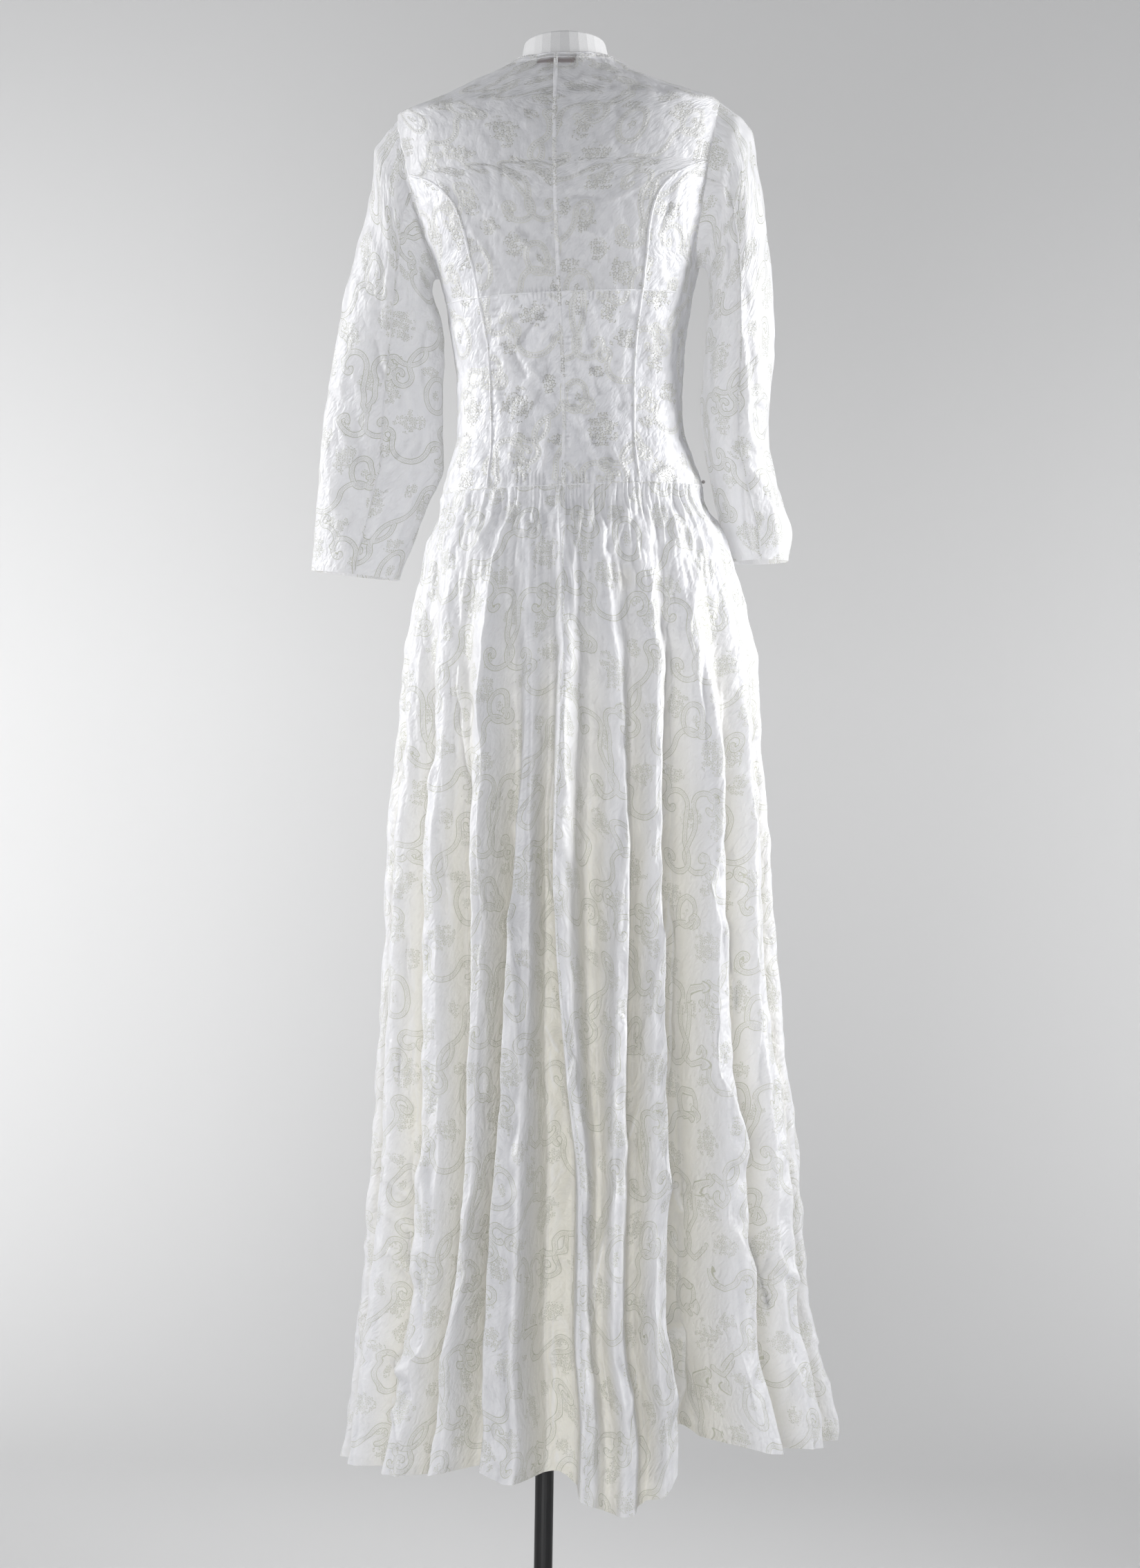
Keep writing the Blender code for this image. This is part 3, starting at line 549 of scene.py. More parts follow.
# %% [markdown]
# ## The bodice's cut pieces
# The back has a centre seam, princess seams that curve into the armholes and a seam across at
# the shoulder blades. Each cut piece is one sheet between its two seam lines, and neighbours
# share the points of their seam, so the cloth closes without a gap.

# %% Bodice sheets
CLOTH_STEP = 0.0026
HEM_WIDTH = 0.009


def ladder(low, high):
    """Heights of a sheet's rows, which pass through every named level."""
    levels = (WAIST_SEAM, MID_SEAM, UNDERARM, PRINCESS_TOP, SHOULDER_TIP, NECKLINE)
    stops = [level for level in levels if low <= level <= high]
    runs = [
        np.linspace(start, end, math.ceil((end - start) / CLOTH_STEP) + 1)[:-1]
        for start, end in zip(stops, stops[1:])
    ]
    return np.concatenate([*runs, [high]])[:, None]


def hem_fold(distance, width=HEM_WIDTH):
    """Where a turned hem lies double, by the distance from its edge."""
    return 1 - ease((distance - width) / 0.0008)


def bodice_sheet(name, low, high, start, end):
    """One cut piece of the bodice, between two edges that give an angle at each height."""
    heights = ladder(low, high)
    left, right = start(heights), end(heights)
    widest = np.linalg.norm(torso(left, heights) - torso(right, heights), axis=-1).max()
    share = np.linspace(0, 1, math.ceil(1.1 * widest / CLOTH_STEP) + 1)
    points = bodice_points(left + (right - left) * share, heights)
    turned = np.broadcast_to(hem_fold(NECKLINE - heights), points.shape[:2])
    return sheet(name, points, cloth_map(points), turned)


BACK_PIECES = (
    ("upper_centre_back", MID_SEAM, NECKLINE, centre_back, back_edge),
    ("upper_side_back", MID_SEAM, PRINCESS_TOP, princess_back, side_back_edge),
    ("lower_centre_back", WAIST_SEAM, MID_SEAM, centre_back, princess_back),
    ("lower_side_back", WAIST_SEAM, MID_SEAM, princess_back, side_seam),
    ("side_front", WAIST_SEAM, PRINCESS_TOP, side_front_edge, princess_front),
)
for side, word in ((1, "right"), (-1, "left")):
    for cut, low, high, near, far in BACK_PIECES:
        edges = [lambda h, edge=edge, side=side: edge(h, side) for edge in (near, far)]
        bodice_sheet(f"{cut}_{word}_cloth", low, high, *edges[:: side])
bodice_sheet(
    "centre_front_cloth",
    WAIST_SEAM,
    NECKLINE,
    lambda height: front_edge(height, 1),
    lambda height: 2 * math.pi + front_edge(height, -1),
)
print("bodice sheets", len(CLOTH))

# %% [markdown]
# ## Sleeves
# A sleeve hangs from its armhole as a tube. Its rings are ovals that turn from the armhole's
# slope to a level cuff, with the sizes of the solids' rings, and a smooth surface passes through
# them. The tube is left open along the seam at its back, where its two edges meet.

# %% Sleeve sizes
SLEEVE_SEAM = 1.733
ARMHOLE_GAP = 0.0006
LEFT_SLEEVE = table(
    "outer_x outer_z inner_x inner_z half_depth centre_y",
    (0.2120, 1.8040, 0.1520, 1.6290, 0.050, 0.026),
    (0.2256, 1.7780, 0.1550, 1.6230, 0.051, 0.027),
    (0.2285, 1.7445, 0.1560, 1.6150, 0.052, 0.028),
    (0.2337, 1.7133, 0.1540, 1.6060, 0.051, 0.029),
    (0.2430, 1.6780, 0.1500, 1.5930, 0.049, 0.030),
    (0.2523, 1.6436, 0.1450, 1.5760, 0.047, 0.032),
    (0.2620, 1.6050, 0.1415, 1.5550, 0.043, 0.034),
    (0.2690, 1.5600, 0.1408, 1.5280, 0.038, 0.036),
    (0.2765, 1.5150, 0.1410, 1.4950, 0.032, 0.038),
    (0.2830, 1.4650, 0.1405, 1.4550, 0.028, 0.040),
    (0.2875, 1.4150, 0.1400, 1.4100, 0.026, 0.042),
    (0.2917, 1.3680, 0.1560, 1.3650, 0.031, 0.045),
    (0.2935, 1.3250, 0.1740, 1.3180, 0.034, 0.048),
    (0.2950, 1.2810, 0.1920, 1.2710, 0.035, 0.050),
)
RIGHT_SLEEVE = table(
    "outer_x outer_z inner_x inner_z half_depth centre_y",
    (0.2020, 1.8230, 0.1660, 1.6420, 0.050, -0.022),
    (0.2125, 1.8130, 0.1700, 1.6380, 0.051, -0.020),
    (0.2210, 1.8000, 0.1725, 1.6320, 0.053, -0.018),
    (0.2263, 1.7634, 0.1735, 1.6230, 0.055, -0.015),
    (0.2343, 1.7256, 0.1735, 1.6120, 0.057, -0.012),
    (0.2404, 1.6890, 0.1728, 1.5980, 0.059, -0.009),
    (0.2450, 1.6500, 0.1715, 1.5800, 0.061, -0.006),
    (0.2485, 1.6020, 0.1700, 1.5550, 0.063, -0.002),
    (0.2508, 1.5500, 0.1680, 1.5220, 0.064, 0.002),
    (0.2490, 1.5000, 0.1665, 1.4850, 0.065, 0.006),
    (0.2470, 1.4500, 0.1700, 1.4450, 0.066, 0.010),
    (0.2550, 1.4030, 0.1780, 1.4030, 0.062, 0.016),
    (0.2680, 1.3600, 0.1880, 1.3600, 0.058, 0.023),
    (0.2765, 1.3300, 0.1950, 1.3300, 0.054, 0.028),
    (0.2744, 1.3000, 0.2040, 1.2970, 0.051, 0.032),
)
LEFT_SLEEVE_CREASES = (
    (1.5, 4, 4, -189, 1774, -196, 1745, -200, 1706),
    (1.5, 5, 5, -224, 1800, -221, 1763, -215, 1722, -209, 1685),
    (1.5, 5, 5, -212, 1714, -205, 1656, -204, 1632, -208, 1599, -214, 1561),
    (2, 4, 4, -208, 1636, -204, 1599, -211, 1561),
    (1.5, 6, 6, -237, 1693, -222, 1656, -218, 1623, -223, 1586),
    (1.2, 6, 6, -251, 1631, -232, 1598, -209, 1586),
    (1.5, 5, 5, -214, 1541, -203, 1504, -196, 1475),
    (-1.5, 5, 5, -225, 1561, -216, 1524, -206, 1496),
    (1.2, 5, 5, -195, 1520, -183, 1488, -176, 1459),
    (1.5, 6, 6, -240, 1503, -231, 1450, -227, 1409),
    (1.2, 5, 5, -257, 1536, -262, 1499, -259, 1466),
    (1, 6, 6, -275, 1474, -256, 1433, -250, 1375),
    (1.2, 4, 4, -170, 1441, -188, 1416, -209, 1399),
    (1, 6, 6, -280, 1391, -263, 1334, -252, 1293),
    (1.2, 5, 5, -206, 1384, -217, 1343, -225, 1302),
    (1, 5, 5, -173, 1385, -184, 1344, -204, 1302),
    (-1.2, 5, 5, -159, 1575, -167, 1533, -162, 1484),
    (1, 5, 5, -176, 1616, -159, 1591, -149, 1567),
    (1, 4, 4, -244, 1763, -232, 1730, -227, 1697),
    (-1, 4, 4, -282, 1499, -269, 1482, -256, 1474),
)
RIGHT_SLEEVE_CREASES = (
    (1, 4, 4, 181, 1805, 196, 1797, 211, 1802),
    (1, 4, 4, 180, 1784, 203, 1778),
    (2, 4, 4, 178, 1766, 185, 1724, 190, 1680),
    (-1.8, 3, 3, 185, 1677, 193, 1663, 194, 1643, 191, 1623, 186, 1599),
    (1.5, 6, 6, 214, 1769, 221, 1739, 232, 1696, 232, 1640),
    (1.2, 6, 6, 205, 1749, 212, 1700, 216, 1652),
    (2, 5, 5, 204, 1631, 209, 1579, 214, 1530, 219, 1490, 217, 1445, 221, 1409),
    (1.5, 4, 4, 199, 1599, 206, 1566, 215, 1542),
    (1.5, 4, 4, 222, 1567, 229, 1530, 227, 1494),
    (1.2, 4, 4, 232, 1571, 235, 1514, 230, 1470),
    (-2.2, 3, 3, 224, 1475, 233, 1478, 245, 1472),
    (2, 4, 4, 214, 1470, 226, 1433, 239, 1420),
    (-1.5, 3, 3, 222, 1419, 231, 1428, 242, 1425),
    (1.5, 4, 4, 213, 1410, 227, 1400, 241, 1383),
    (2, 4, 4, 216, 1389, 223, 1352, 233, 1304),
    (-1.5, 4, 4, 214, 1393, 218, 1348, 228, 1300),
    (1.5, 5, 5, 244, 1389, 252, 1353, 262, 1308),
    (1.2, 5, 5, 193, 1465, 199, 1417, 204, 1368),
    (1, 5, 5, 184, 1562, 181, 1514, 185, 1465),
    (1.2, 4, 4, 230, 1466, 240, 1456, 247, 1461),
    (1, 4, 4, 234, 1433, 244, 1440),
)
SLEEVE_POINTS = 120
SLEEVE_ROWS = 190
SLEEVE_CREASING = 1.9
ALLOWANCE = 0.006
SEAM_LINES = {}


# %% Sleeve sheets
def sleeve_relief(points, side):
    """How far creases and crumples lift a sleeve's cloth."""
    x, y, z = points[..., 0], points[..., 1], points[..., 2]
    behind = ease((y.mean(1, keepdims=True) + 0.006 - y) / 0.012)
    own, other = (LEFT_SLEEVE_CREASES, RIGHT_SLEEVE_CREASES)[::-side]
    lift = crease_relief(x, z, own) * behind + crease_relief(-x, z, other) * (1 - behind)
    lift *= SLEEVE_CREASING
    lift += 0.0013 * crumple(points, 0.030, 3.0, 21.0 + side)
    return lift + 0.0007 * crumple(points, 0.013, 1.6, 5.0 + side)


def sleeve_sheet(name, side, rings):
    """A sleeve from its armhole to its cuff, open along its back seam."""
    middle = (SHOULDER_TIP + UNDERARM) / 2
    half_height = (SHOULDER_TIP - UNDERARM) / 2
    half_depth = ARMHOLE["back"].max()
    swing = np.arange(SLEEVE_POINTS) * 2 * math.pi / SLEEVE_POINTS
    heights = middle + half_height * np.cos(swing)
    behind = swing <= math.pi
    angles = np.where(behind, armhole_back(heights, side), armhole_front(heights, side))
    base = torso(angles, heights)
    turns = np.arctan2(-base[:, 1] / half_depth, (heights - middle) / half_height)
    top = bodice_points(angles, heights) + (side * ARMHOLE_GAP, 0, 0)
    rows = [top]
    for k in range(len(rings["outer_x"])):
        outer, inner = (
            np.array([side * rings[f"{end}_x"][k], rings["centre_y"][k], rings[f"{end}_z"][k]])
            for end in ("outer", "inner")
        )
        rear = np.array([0, -rings["half_depth"][k], 0])
        swung = (outer - inner) / 2 * np.cos(turns)[:, None] + rear * np.sin(turns)[:, None]
        rows.append((outer + inner) / 2 + swung)
    rows = np.array(rows)
    centres = rows.mean(axis=1)
    travel = np.concatenate([[0], np.cumsum(np.linalg.norm(np.diff(centres, axis=0), axis=1))])
    points = curve(travel, rows, np.linspace(travel[-1], 0, SLEEVE_ROWS))
    seam = int(np.argmin(np.abs(heights[: SLEEVE_POINTS // 2] - SLEEVE_SEAM)))
    if side > 0:
        points = points[:, ::-1]
        seam = SLEEVE_POINTS - 1 - seam
    points = np.roll(points, -seam, axis=1)
    lift = sleeve_relief(points, side)
    upward = np.linspace(0, 1, SLEEVE_ROWS)[:, None]
    lift = lift * ease((1 - upward) / 0.06)
    points = points + directions(points, closed=True) * lift[..., None]
    points = np.concatenate([points, points[:, :1]], 1)
    down = np.linalg.norm(np.diff(points, axis=0), axis=-1)
    edge = np.concatenate([np.zeros((1, points.shape[1])), np.cumsum(down, 0)])
    flat = cloth_map(points)
    aside = np.abs(flat[..., 0] - flat[:, :1, 0])
    aside = np.minimum(aside, np.abs(flat[..., 0] - flat[:, -1:, 0]))
    turned = np.maximum(hem_fold(edge), hem_fold(aside, ALLOWANCE))
    SEAM_LINES[f"{name}_seam"] = points[:, 0], directions(points[:, :-1], closed=True)[:, 0]
    return sheet(f"{name}_cloth", points, flat, turned)


sleeve_sheet("sleeve_left", -1, LEFT_SLEEVE)
sleeve_sheet("sleeve_right", 1, RIGHT_SLEEVE)
print("sleeves", SLEEVE_POINTS * SLEEVE_ROWS, "points each")

# %% [markdown]
# ## The skirt
# The skirt is full: its cloth is drawn up at the waist seam into small gathers, which open into
# about twenty large folds. Each fold is a ridge with a dip beside it, and runs down its own line.

# %% Skirt sizes
SKIRT = table(
    "height centre half_width back front",
    (0.205, 0.0510, 0.2950, 0.276, 0.242),
    (0.287, 0.0530, 0.2880, 0.266, 0.232),
    (0.418, 0.0430, 0.2650, 0.248, 0.214),
    (0.582, 0.0430, 0.2540, 0.230, 0.201),
    (0.713, 0.0356, 0.2410, 0.214, 0.191),
    (0.845, 0.0320, 0.2310, 0.202, 0.182),
    (0.976, 0.0300, 0.2270, 0.192, 0.175),
    (1.074, 0.0315, 0.2150, 0.180, 0.167),
    (1.173, 0.0310, 0.2090, 0.169, 0.158),
    (1.218, 0.0270, 0.1990, 0.159, 0.149),
    (1.266, 0.0250, 0.1880, 0.148, 0.139),
    (1.305, 0.0215, 0.1780, 0.137, 0.130),
    (1.346, 0.0225, 0.1660, 0.125, 0.119),
    (1.376, 0.0187, 0.1527, 0.112, 0.108),
)
FOLDS = table(
    "waist knee shin hem drop knee_dip hem_dip right_top right_foot left_top left_foot",
    (-88, -86, -86, -87, 0.000, 0.022, 0.030, 0.10, 0.35, 0.05, 0.45),
    (-70, -68, -66, -66, 0.002, 0.045, 0.050, 0.05, 0.40, 0.10, 0.35),
    (-52, -47, -43, -50, 0.004, 0.038, 0.055, 0.22, 0.42, 0.05, 0.50),
    (-34, -30, -31, -36, 0.000, 0.055, 0.050, 0.10, 0.30, 0.05, 0.35),
    (-19, -17, -21, -22, 0.016, 0.055, 0.085, 0.20, 0.34, 0.28, 0.46),
    (-5, -7, -1, -1, 0.000, 0.040, 0.022, 0.10, 0.45, 0.04, 0.16),
    (8, 13, 8, 9, 0.006, 0.040, 0.040, 0.10, 0.40, 0.10, 0.40),
    (24, 23, 20, 18, 0.006, 0.052, 0.092, 0.06, 0.16, 0.15, 0.45),
    (37, 40, 39, 42, 0.000, 0.034, 0.060, 0.15, 0.45, 0.10, 0.20),
    (57, 62, 61, 63, 0.002, 0.024, 0.036, 0.05, 0.45, 0.15, 0.45),
    (78, 86, 86, 87, 0.000, 0.030, 0.045, 0.10, 0.40, 0.05, 0.35),
    (102, 105, 104, 106, 0.004, 0.036, 0.056, 0.20, 0.38, 0.10, 0.45),
    (122, 123, 124, 123, 0.000, 0.040, 0.058, 0.05, 0.35, 0.20, 0.36),
    (142, 142, 142, 143, 0.006, 0.034, 0.050, 0.10, 0.45, 0.12, 0.30),
    (161, 160, 161, 160, 0.000, 0.042, 0.062, 0.22, 0.36, 0.05, 0.40),
    (180, 181, 179, 180, 0.004, 0.036, 0.054, 0.08, 0.40, 0.10, 0.45),
    (199, 198, 199, 201, 0.000, 0.042, 0.060, 0.15, 0.32, 0.18, 0.34),
    (218, 218, 217, 217, 0.006, 0.036, 0.050, 0.05, 0.40, 0.08, 0.40),
    (236, 236, 237, 235, 0.002, 0.038, 0.056, 0.18, 0.36, 0.05, 0.42),
    (254, 255, 255, 254, 0.002, 0.032, 0.046, 0.08, 0.42, 0.16, 0.34),
)
GATHERS = table(
    "share depth",
    (0.000, 0.0010),
    (0.012, 0.0026),
    (0.030, 0.0034),
    (0.060, 0.0030),
    (0.100, 0.0020),
    (0.155, 0.0008),
    (0.230, 0.0000),
    (1.000, 0.0000),
)
HEMLINE = table(
    "angle height",
    (-180, 0.246),
    (-120, 0.242),
    (-88, 0.233),
    (-66, 0.239),
    (-44, 0.241),
    (-28, 0.257),
    (-20, 0.243),
    (-11, 0.249),
    (-3, 0.232),
    (8, 0.213),
    (16, 0.232),
    (23, 0.286),
    (30, 0.300),
    (42, 0.276),
    (62, 0.269),
    (87, 0.260),
    (120, 0.252),
    (180, 0.246),
)
FOLD_LEVELS = (0.250, 0.525, 0.935, WAIST_SEAM)
KNEE_SHARE = 0.39
GATHER_STRENGTH = 0.36
DIP_GROWTH = 1.1
BLEND_DROP = 0.06
GATHERS_PER_FOLD = 3
BACK_FOLDS = 10
FOLD_COUNT = 20
BACK_COLUMNS = 50
FRONT_COLUMNS = 28
SKIRT_LEVELS = 290


# %% The skirt's surface
def fold_column(name, index):
    """A column of the folds' table for some folds, counted on past the last one."""
    lap, row = np.divmod(index, len(FOLDS[name]))
    turn = 360 * lap if name in ("waist", "knee", "shin", "hem") else 0
    return FOLDS[name][row] + turn


def fold_angle(index, height):
    """The direction of each column's fold at each height, in degrees."""
    stops = np.array([fold_column(name, index) for name in ("hem", "shin", "knee", "waist")])
    angle = np.empty(height.shape)
    for c in range(height.shape[1]):
        angle[:, c] = curve(np.array(FOLD_LEVELS), stops[:, c], height[:, c])
    return angle


def skirt_points(place, share):
    """Points of the skirt: columns by their place round the folds, rows by share of the drop."""
    index = np.floor(place).astype(int)
    part = place - index
    hem_angle = fold_column("hem", index) * (1 - part) + fold_column("hem", index + 1) * part
    waist_angle = fold_column("waist", index) * (1 - part) + fold_column("waist", index + 1) * part
    seam = bodice_points(np.radians(waist_angle) - FORM_TURN, np.full(len(place), WAIST_SEAM))
    hem_height = read(HEMLINE, "height", (hem_angle + 180) % 360 - 180)
    share = share[:, None]
    height = seam[:, 2] + (hem_height - seam[:, 2]) * share
    start = fold_angle(index, height)
    angle = np.radians(start + (fold_angle(index + 1, height) - start) * part)
    hanging = oval(angle, *(read(SKIRT, name, height) for name in ("half_width", "back", "front")))
    centre = read(SKIRT, "centre", height)
    hanging[..., 0] += centre
    blend = ease((seam[:, 2] - height) / BLEND_DROP)[..., None]
    points = seam * (1 - blend) + hanging * blend
    points[..., 2] = height
    panel = ease((share - 0.05) / 0.5)
    wave = 1.0
    for side, fold, away in (("right", index, part), ("left", index + 1, 1 - part)):
        top = fold_column(f"{side}_top", fold) * panel
        foot = 0.5 + (fold_column(f"{side}_foot", fold) - 0.5) * panel
        wave = wave * ease((away - top) / (foot - top))
    growth = np.minimum(share / KNEE_SHARE, 1) ** DIP_GROWTH
    lower = ease((share - KNEE_SHARE) / (1 - KNEE_SHARE))
    knee_dip, hem_dip = fold_column("knee_dip", index), fold_column("hem_dip", index)
    dip = knee_dip + (hem_dip - knee_dip) * lower
    drop = fold_column("drop", index) * (1 - part) + fold_column("drop", index + 1) * part
    inward = growth * (drop * (1 - wave) + dip * wave)
    turn = 2 * np.pi * place / len(FOLDS["hem"])
    uneven = 0.5 + 0.3 * np.sin(7 * turn + 1) + 0.2 * np.sin(13 * turn)
    reach = 1.1 + 0.5 * np.sin(5 * turn + 2) + 0.3 * np.sin(17 * turn)
    gathers = read(GATHERS, "depth", np.minimum(share * reach, 1))
    gather = GATHER_STRENGTH * gathers * uneven
    beat = GATHERS_PER_FOLD * place + 0.3 * np.sin(9 * turn) + 0.2 * np.sin(23 * turn + 1)
    ripple = np.cos(2 * np.pi * beat + 5 * share)
    lift = np.maximum(1 - share / GATHERS["share"][1], 0)
    outward = gather * (ripple + lift) - inward
    spoke = np.stack([points[..., 0] - centre, points[..., 1], 0 * height], -1)
    spoke /= np.linalg.norm(spoke, axis=-1, keepdims=True)
    # The second value, the fold dip's share, later paints cream into the skirt's recesses as warm
    # shade.
    return points + spoke * outward[..., None], wave * ease(share / 0.45)


# %% Creases of the skirt
SKIRT_CREASES = (
    (2, 4, 4, -120, 1376, -132, 1321, -141, 1290),
    (1.5, 3, 3, -110, 1376, -120, 1321),
    (4, 5, 7, -83, 1377, -90, 1330, -97, 1298, -103, 1267, -109, 1227, -113, 1188),
    (2, 4, 4, -73, 1377, -77, 1342, -79, 1322),
    (-2.2, 4, 4, -68, 1377, -72, 1334, -82, 1298),
    (
        4.5, 5, 7, -41, 1377, -53, 1342, -63, 1321, -72, 1291, -77, 1251,
        -80, 1212, -84, 1134, -81, 1055,
    ),
    (2, 4, 4, -85, 1334, -93, 1298, -95, 1259),
    (1.2, 3, 3, -21, 1378, -11, 1339),
    (2, 4, 4, -1, 1378, 1, 1331, 2, 1292),
    (1.2, 3, 3, -21, 1304, -24, 1268, -24, 1237),
    (-1.5, 4, 4, 9, 1370, 9, 1292),
    (4.5, 4, 7, 29, 1378, 26, 1339, 21, 1308, 17, 1280, 19, 1245, 22, 1210),
    (1.5, 4, 4, 38, 1379, 34, 1331, 32, 1292),
    (-1.5, 4, 4, 46, 1379, 43, 1324),
    (1.5, 3, 3, 62, 1379, 56, 1332),
    (2.5, 4, 4, 86, 1379, 75, 1336, 68, 1312, 59, 1293),
    (2.5, 4, 4, 100, 1380, 103, 1340, 108, 1317, 113, 1294),
    (-2, 3, 3, 96, 1379, 100, 1332),
    (2.5, 3, 3, 111, 1380, 120, 1325, 125, 1294),
    (2.5, 3, 3, 119, 1380, 138, 1317, 146, 1294),
    (2.5, 3, 3, 130, 1380, 152, 1318, 158, 1286),
    (2.5, 3, 3, 140, 1380, 162, 1318, 174, 1279),
    (1.5, 3, 3, 150, 1380, 172, 1326, 183, 1295),
    (4, 4, 7, 164, 1310, 159, 1271, 156, 1239, 150, 1208, 144, 1176, 141, 1145),
    (2.5, 4, 4, 113, 1301, 109, 1262, 105, 1239),
    (1.5, 3, 3, 140, 1286, 130, 1247, 126, 1215, 121, 1168),
    (-1.5, 3, 3, 166, 1294, 173, 1255, 175, 1216),
    (1.3, 3, 3, 43, 1265, 44, 1230, 50, 1191),
    (1.2, 3, 3, 63, 1191, 62, 1136, 63, 1058),
    (5, 4, 8, -114, 1176, -108, 1141, -101, 1102, -94, 1047, -88, 1024),
    (-3, 7, 7, -114, 1161, -117, 1102, -118, 1039, -115, 937),
    (5, 5, 9, -85, 1142, -78, 1055, -80, 1008, -81, 946),
    (-1.5, 3, 3, -124, 1168, -123, 1094, -121, 1023),
    (6, 3, 13, 5, 1186, 2, 1135, 1, 1049, -3, 1010, -4, 963, -2, 923, 6, 892, 18, 865, 23, 822),
    (6, 3, 13, 23, 838, 22, 775, 31, 728, 20, 689, 27, 634, 34, 587),
    (6, 13, 3, 12, 1167, 12, 1057, 18, 1010, 24, 955, 28, 900, 30, 838, 34, 775, 37, 712),
    (1.5, 4, 4, 25, 1214, 26, 1135, 25, 1057),
    (3, 3, 5, 95, 1148, 102, 1121, 110, 1090, 115, 1066),
    (4, 4, 8, 154, 1231, 153, 1137, 152, 1059, 157, 981),
    (-4, 5, 5, 172, 1216, 173, 1138, 174, 1059, 178, 1005),
    (7, 14, 3, 185, 1169, 186, 1060, 187, 981, 186, 903),
    (1.5, 3, 3, 193, 1169, 193, 1099, 193, 1044),
    (3, 4, 6, 219, 1138, 226, 1060, 233, 943),
    (3, 5, 5, -156, 1211, -160, 1133, -159, 1054),
    (1.2, 5, 5, -169, 1164, -170, 1054, -170, 976),
    (3, 3, 4, -138, 1055, -148, 1015),
    (
        6, 3, 12, -86, 1040, -82, 977, -81, 930, -78, 891, -74, 867,
        -80, 828, -75, 781, -71, 734, -73, 687, -75, 632, -79, 585,
    ),
    (8, 25, 4, -64, 1032, -63, 977, -52, 915, -45, 860, -39, 790, -33, 711, -30, 633),
    (12, 30, 4, -31, 696, -28, 508, -24, 429, -26, 351, -24, 253),
    (6, 22, 4, -112, 1055, -107, 937, -108, 820, -104, 702, -102, 585, -102, 514),
    (4, 8, 3, -154, 796, -151, 709, -148, 631, -146, 584, -149, 514),
    (4, 4, 6, -166, 897, -159, 819, -152, 772),
    (-3, 3, 3, -174, 740, -177, 693, -175, 631),
    (4, 5, 5, -128, 1055, -121, 992, -114, 929, -108, 890, -109, 843),
    (8, 3, 22, 90, 1042, 82, 964, 76, 901, 73, 854, 72, 791, 72, 713, 69, 650, 72, 595),
    (3, 3, 5, -33, 813, -18, 774, 2, 735, 18, 708),
    (5, 3, 10, 134, 914, 129, 878, 122, 847, 115, 808, 108, 760, 98, 698, 93, 666),
    (5, 6, 6, 145, 906, 156, 926, 157, 961),
    (5, 12, 3, 131, 902, 135, 839, 135, 777, 134, 714, 135, 659),
    (5, 3, 6, 129, 753, 116, 706, 101, 666, 86, 619, 77, 580),
    (7, 18, 3, 175, 934, 181, 903, 187, 879, 186, 824, 187, 762, 188, 699),
    (8, 20, 3, 188, 707, 207, 668, 219, 629, 225, 582),
    (4, 3, 3, 192, 895, 203, 840, 210, 793, 216, 739),
    (-3, 3, 3, 246, 802, 245, 731, 243, 661),
    (3, 3, 6, 256, 708, 270, 653, 280, 599),
    (5, 3, 8, 200, 691, 176, 667, 160, 636, 153, 597, 163, 565),
    (
        10, 3, 20, -79, 624, -80, 569, -86, 538, -89, 507, -86, 475,
        -94, 444, -103, 412, -110, 381, -115, 342, -117, 295,
    ),
    (7, 18, 3, -146, 608, -138, 553, -138, 506, -141, 451),
    (-3, 4, 4, -125, 522, -122, 475, -118, 428),
    (4, 4, 5, -195, 572, -171, 560, -150, 546),
    (4, 4, 5, -192, 532, -171, 525, -150, 510),
    (4, 4, 5, -185, 493, -166, 470, -148, 452),
    (4, 3, 4, -154, 529, -151, 474, -147, 427),
    (-5, 5, 8, -149, 474, -148, 427, -147, 373),
    (9, 3, 20, 78, 611, 74, 564, 62, 517, 55, 478, 54, 438, 46, 407, 39, 375),
    (5, 3, 14, 40, 391, 47, 352, 44, 305, 39, 250),
    (5, 4, 10, 78, 384, 87, 337, 95, 290, 101, 255),
    (4, 3, 4, 91, 317, 96, 337, 103, 369),
    (3, 3, 4, 117, 455, 113, 400, 116, 353),
    (4, 3, 5, 125, 502, 120, 447, 125, 400),
    (6, 3, 16, 127, 612, 142, 557, 162, 518, 190, 487, 212, 472, 221, 445),
    (8, 16, 4, 206, 541, 224, 496, 237, 463, 247, 433, 252, 402, 251, 355),
    (12, 22, 4, 151, 424, 152, 369, 152, 314),
    (5, 4, 8, 141, 369, 134, 306, 137, 251),
    (4, 3, 5, 119, 330, 115, 275, 113, 220),
    (5, 4, 14, 258, 481, 257, 418, 259, 355),
    (4, 3, 8, 258, 500, 281, 465, 297, 434, 315, 372),
    (3, 4, 4, 240, 469, 257, 504),
    (8, 18, 3, -171, 346, -164, 361, -151, 372, -132, 379, -108, 383),
    (-2.5, 5, 5, -166, 339, -154, 324, -143, 313),
    (5, 3, 5, -176, 325, -167, 286, -157, 255),
    (3, 5, 5, -109, 318, -107, 279, -108, 248),
    (3, 4, 5, -71, 429, -73, 366, -71, 303),
    (2.5, 4, 6, -15, 586, -11, 469, -11, 359),
    (2.5, 5, 7, 7, 430, 10, 351, 9, 273),
)
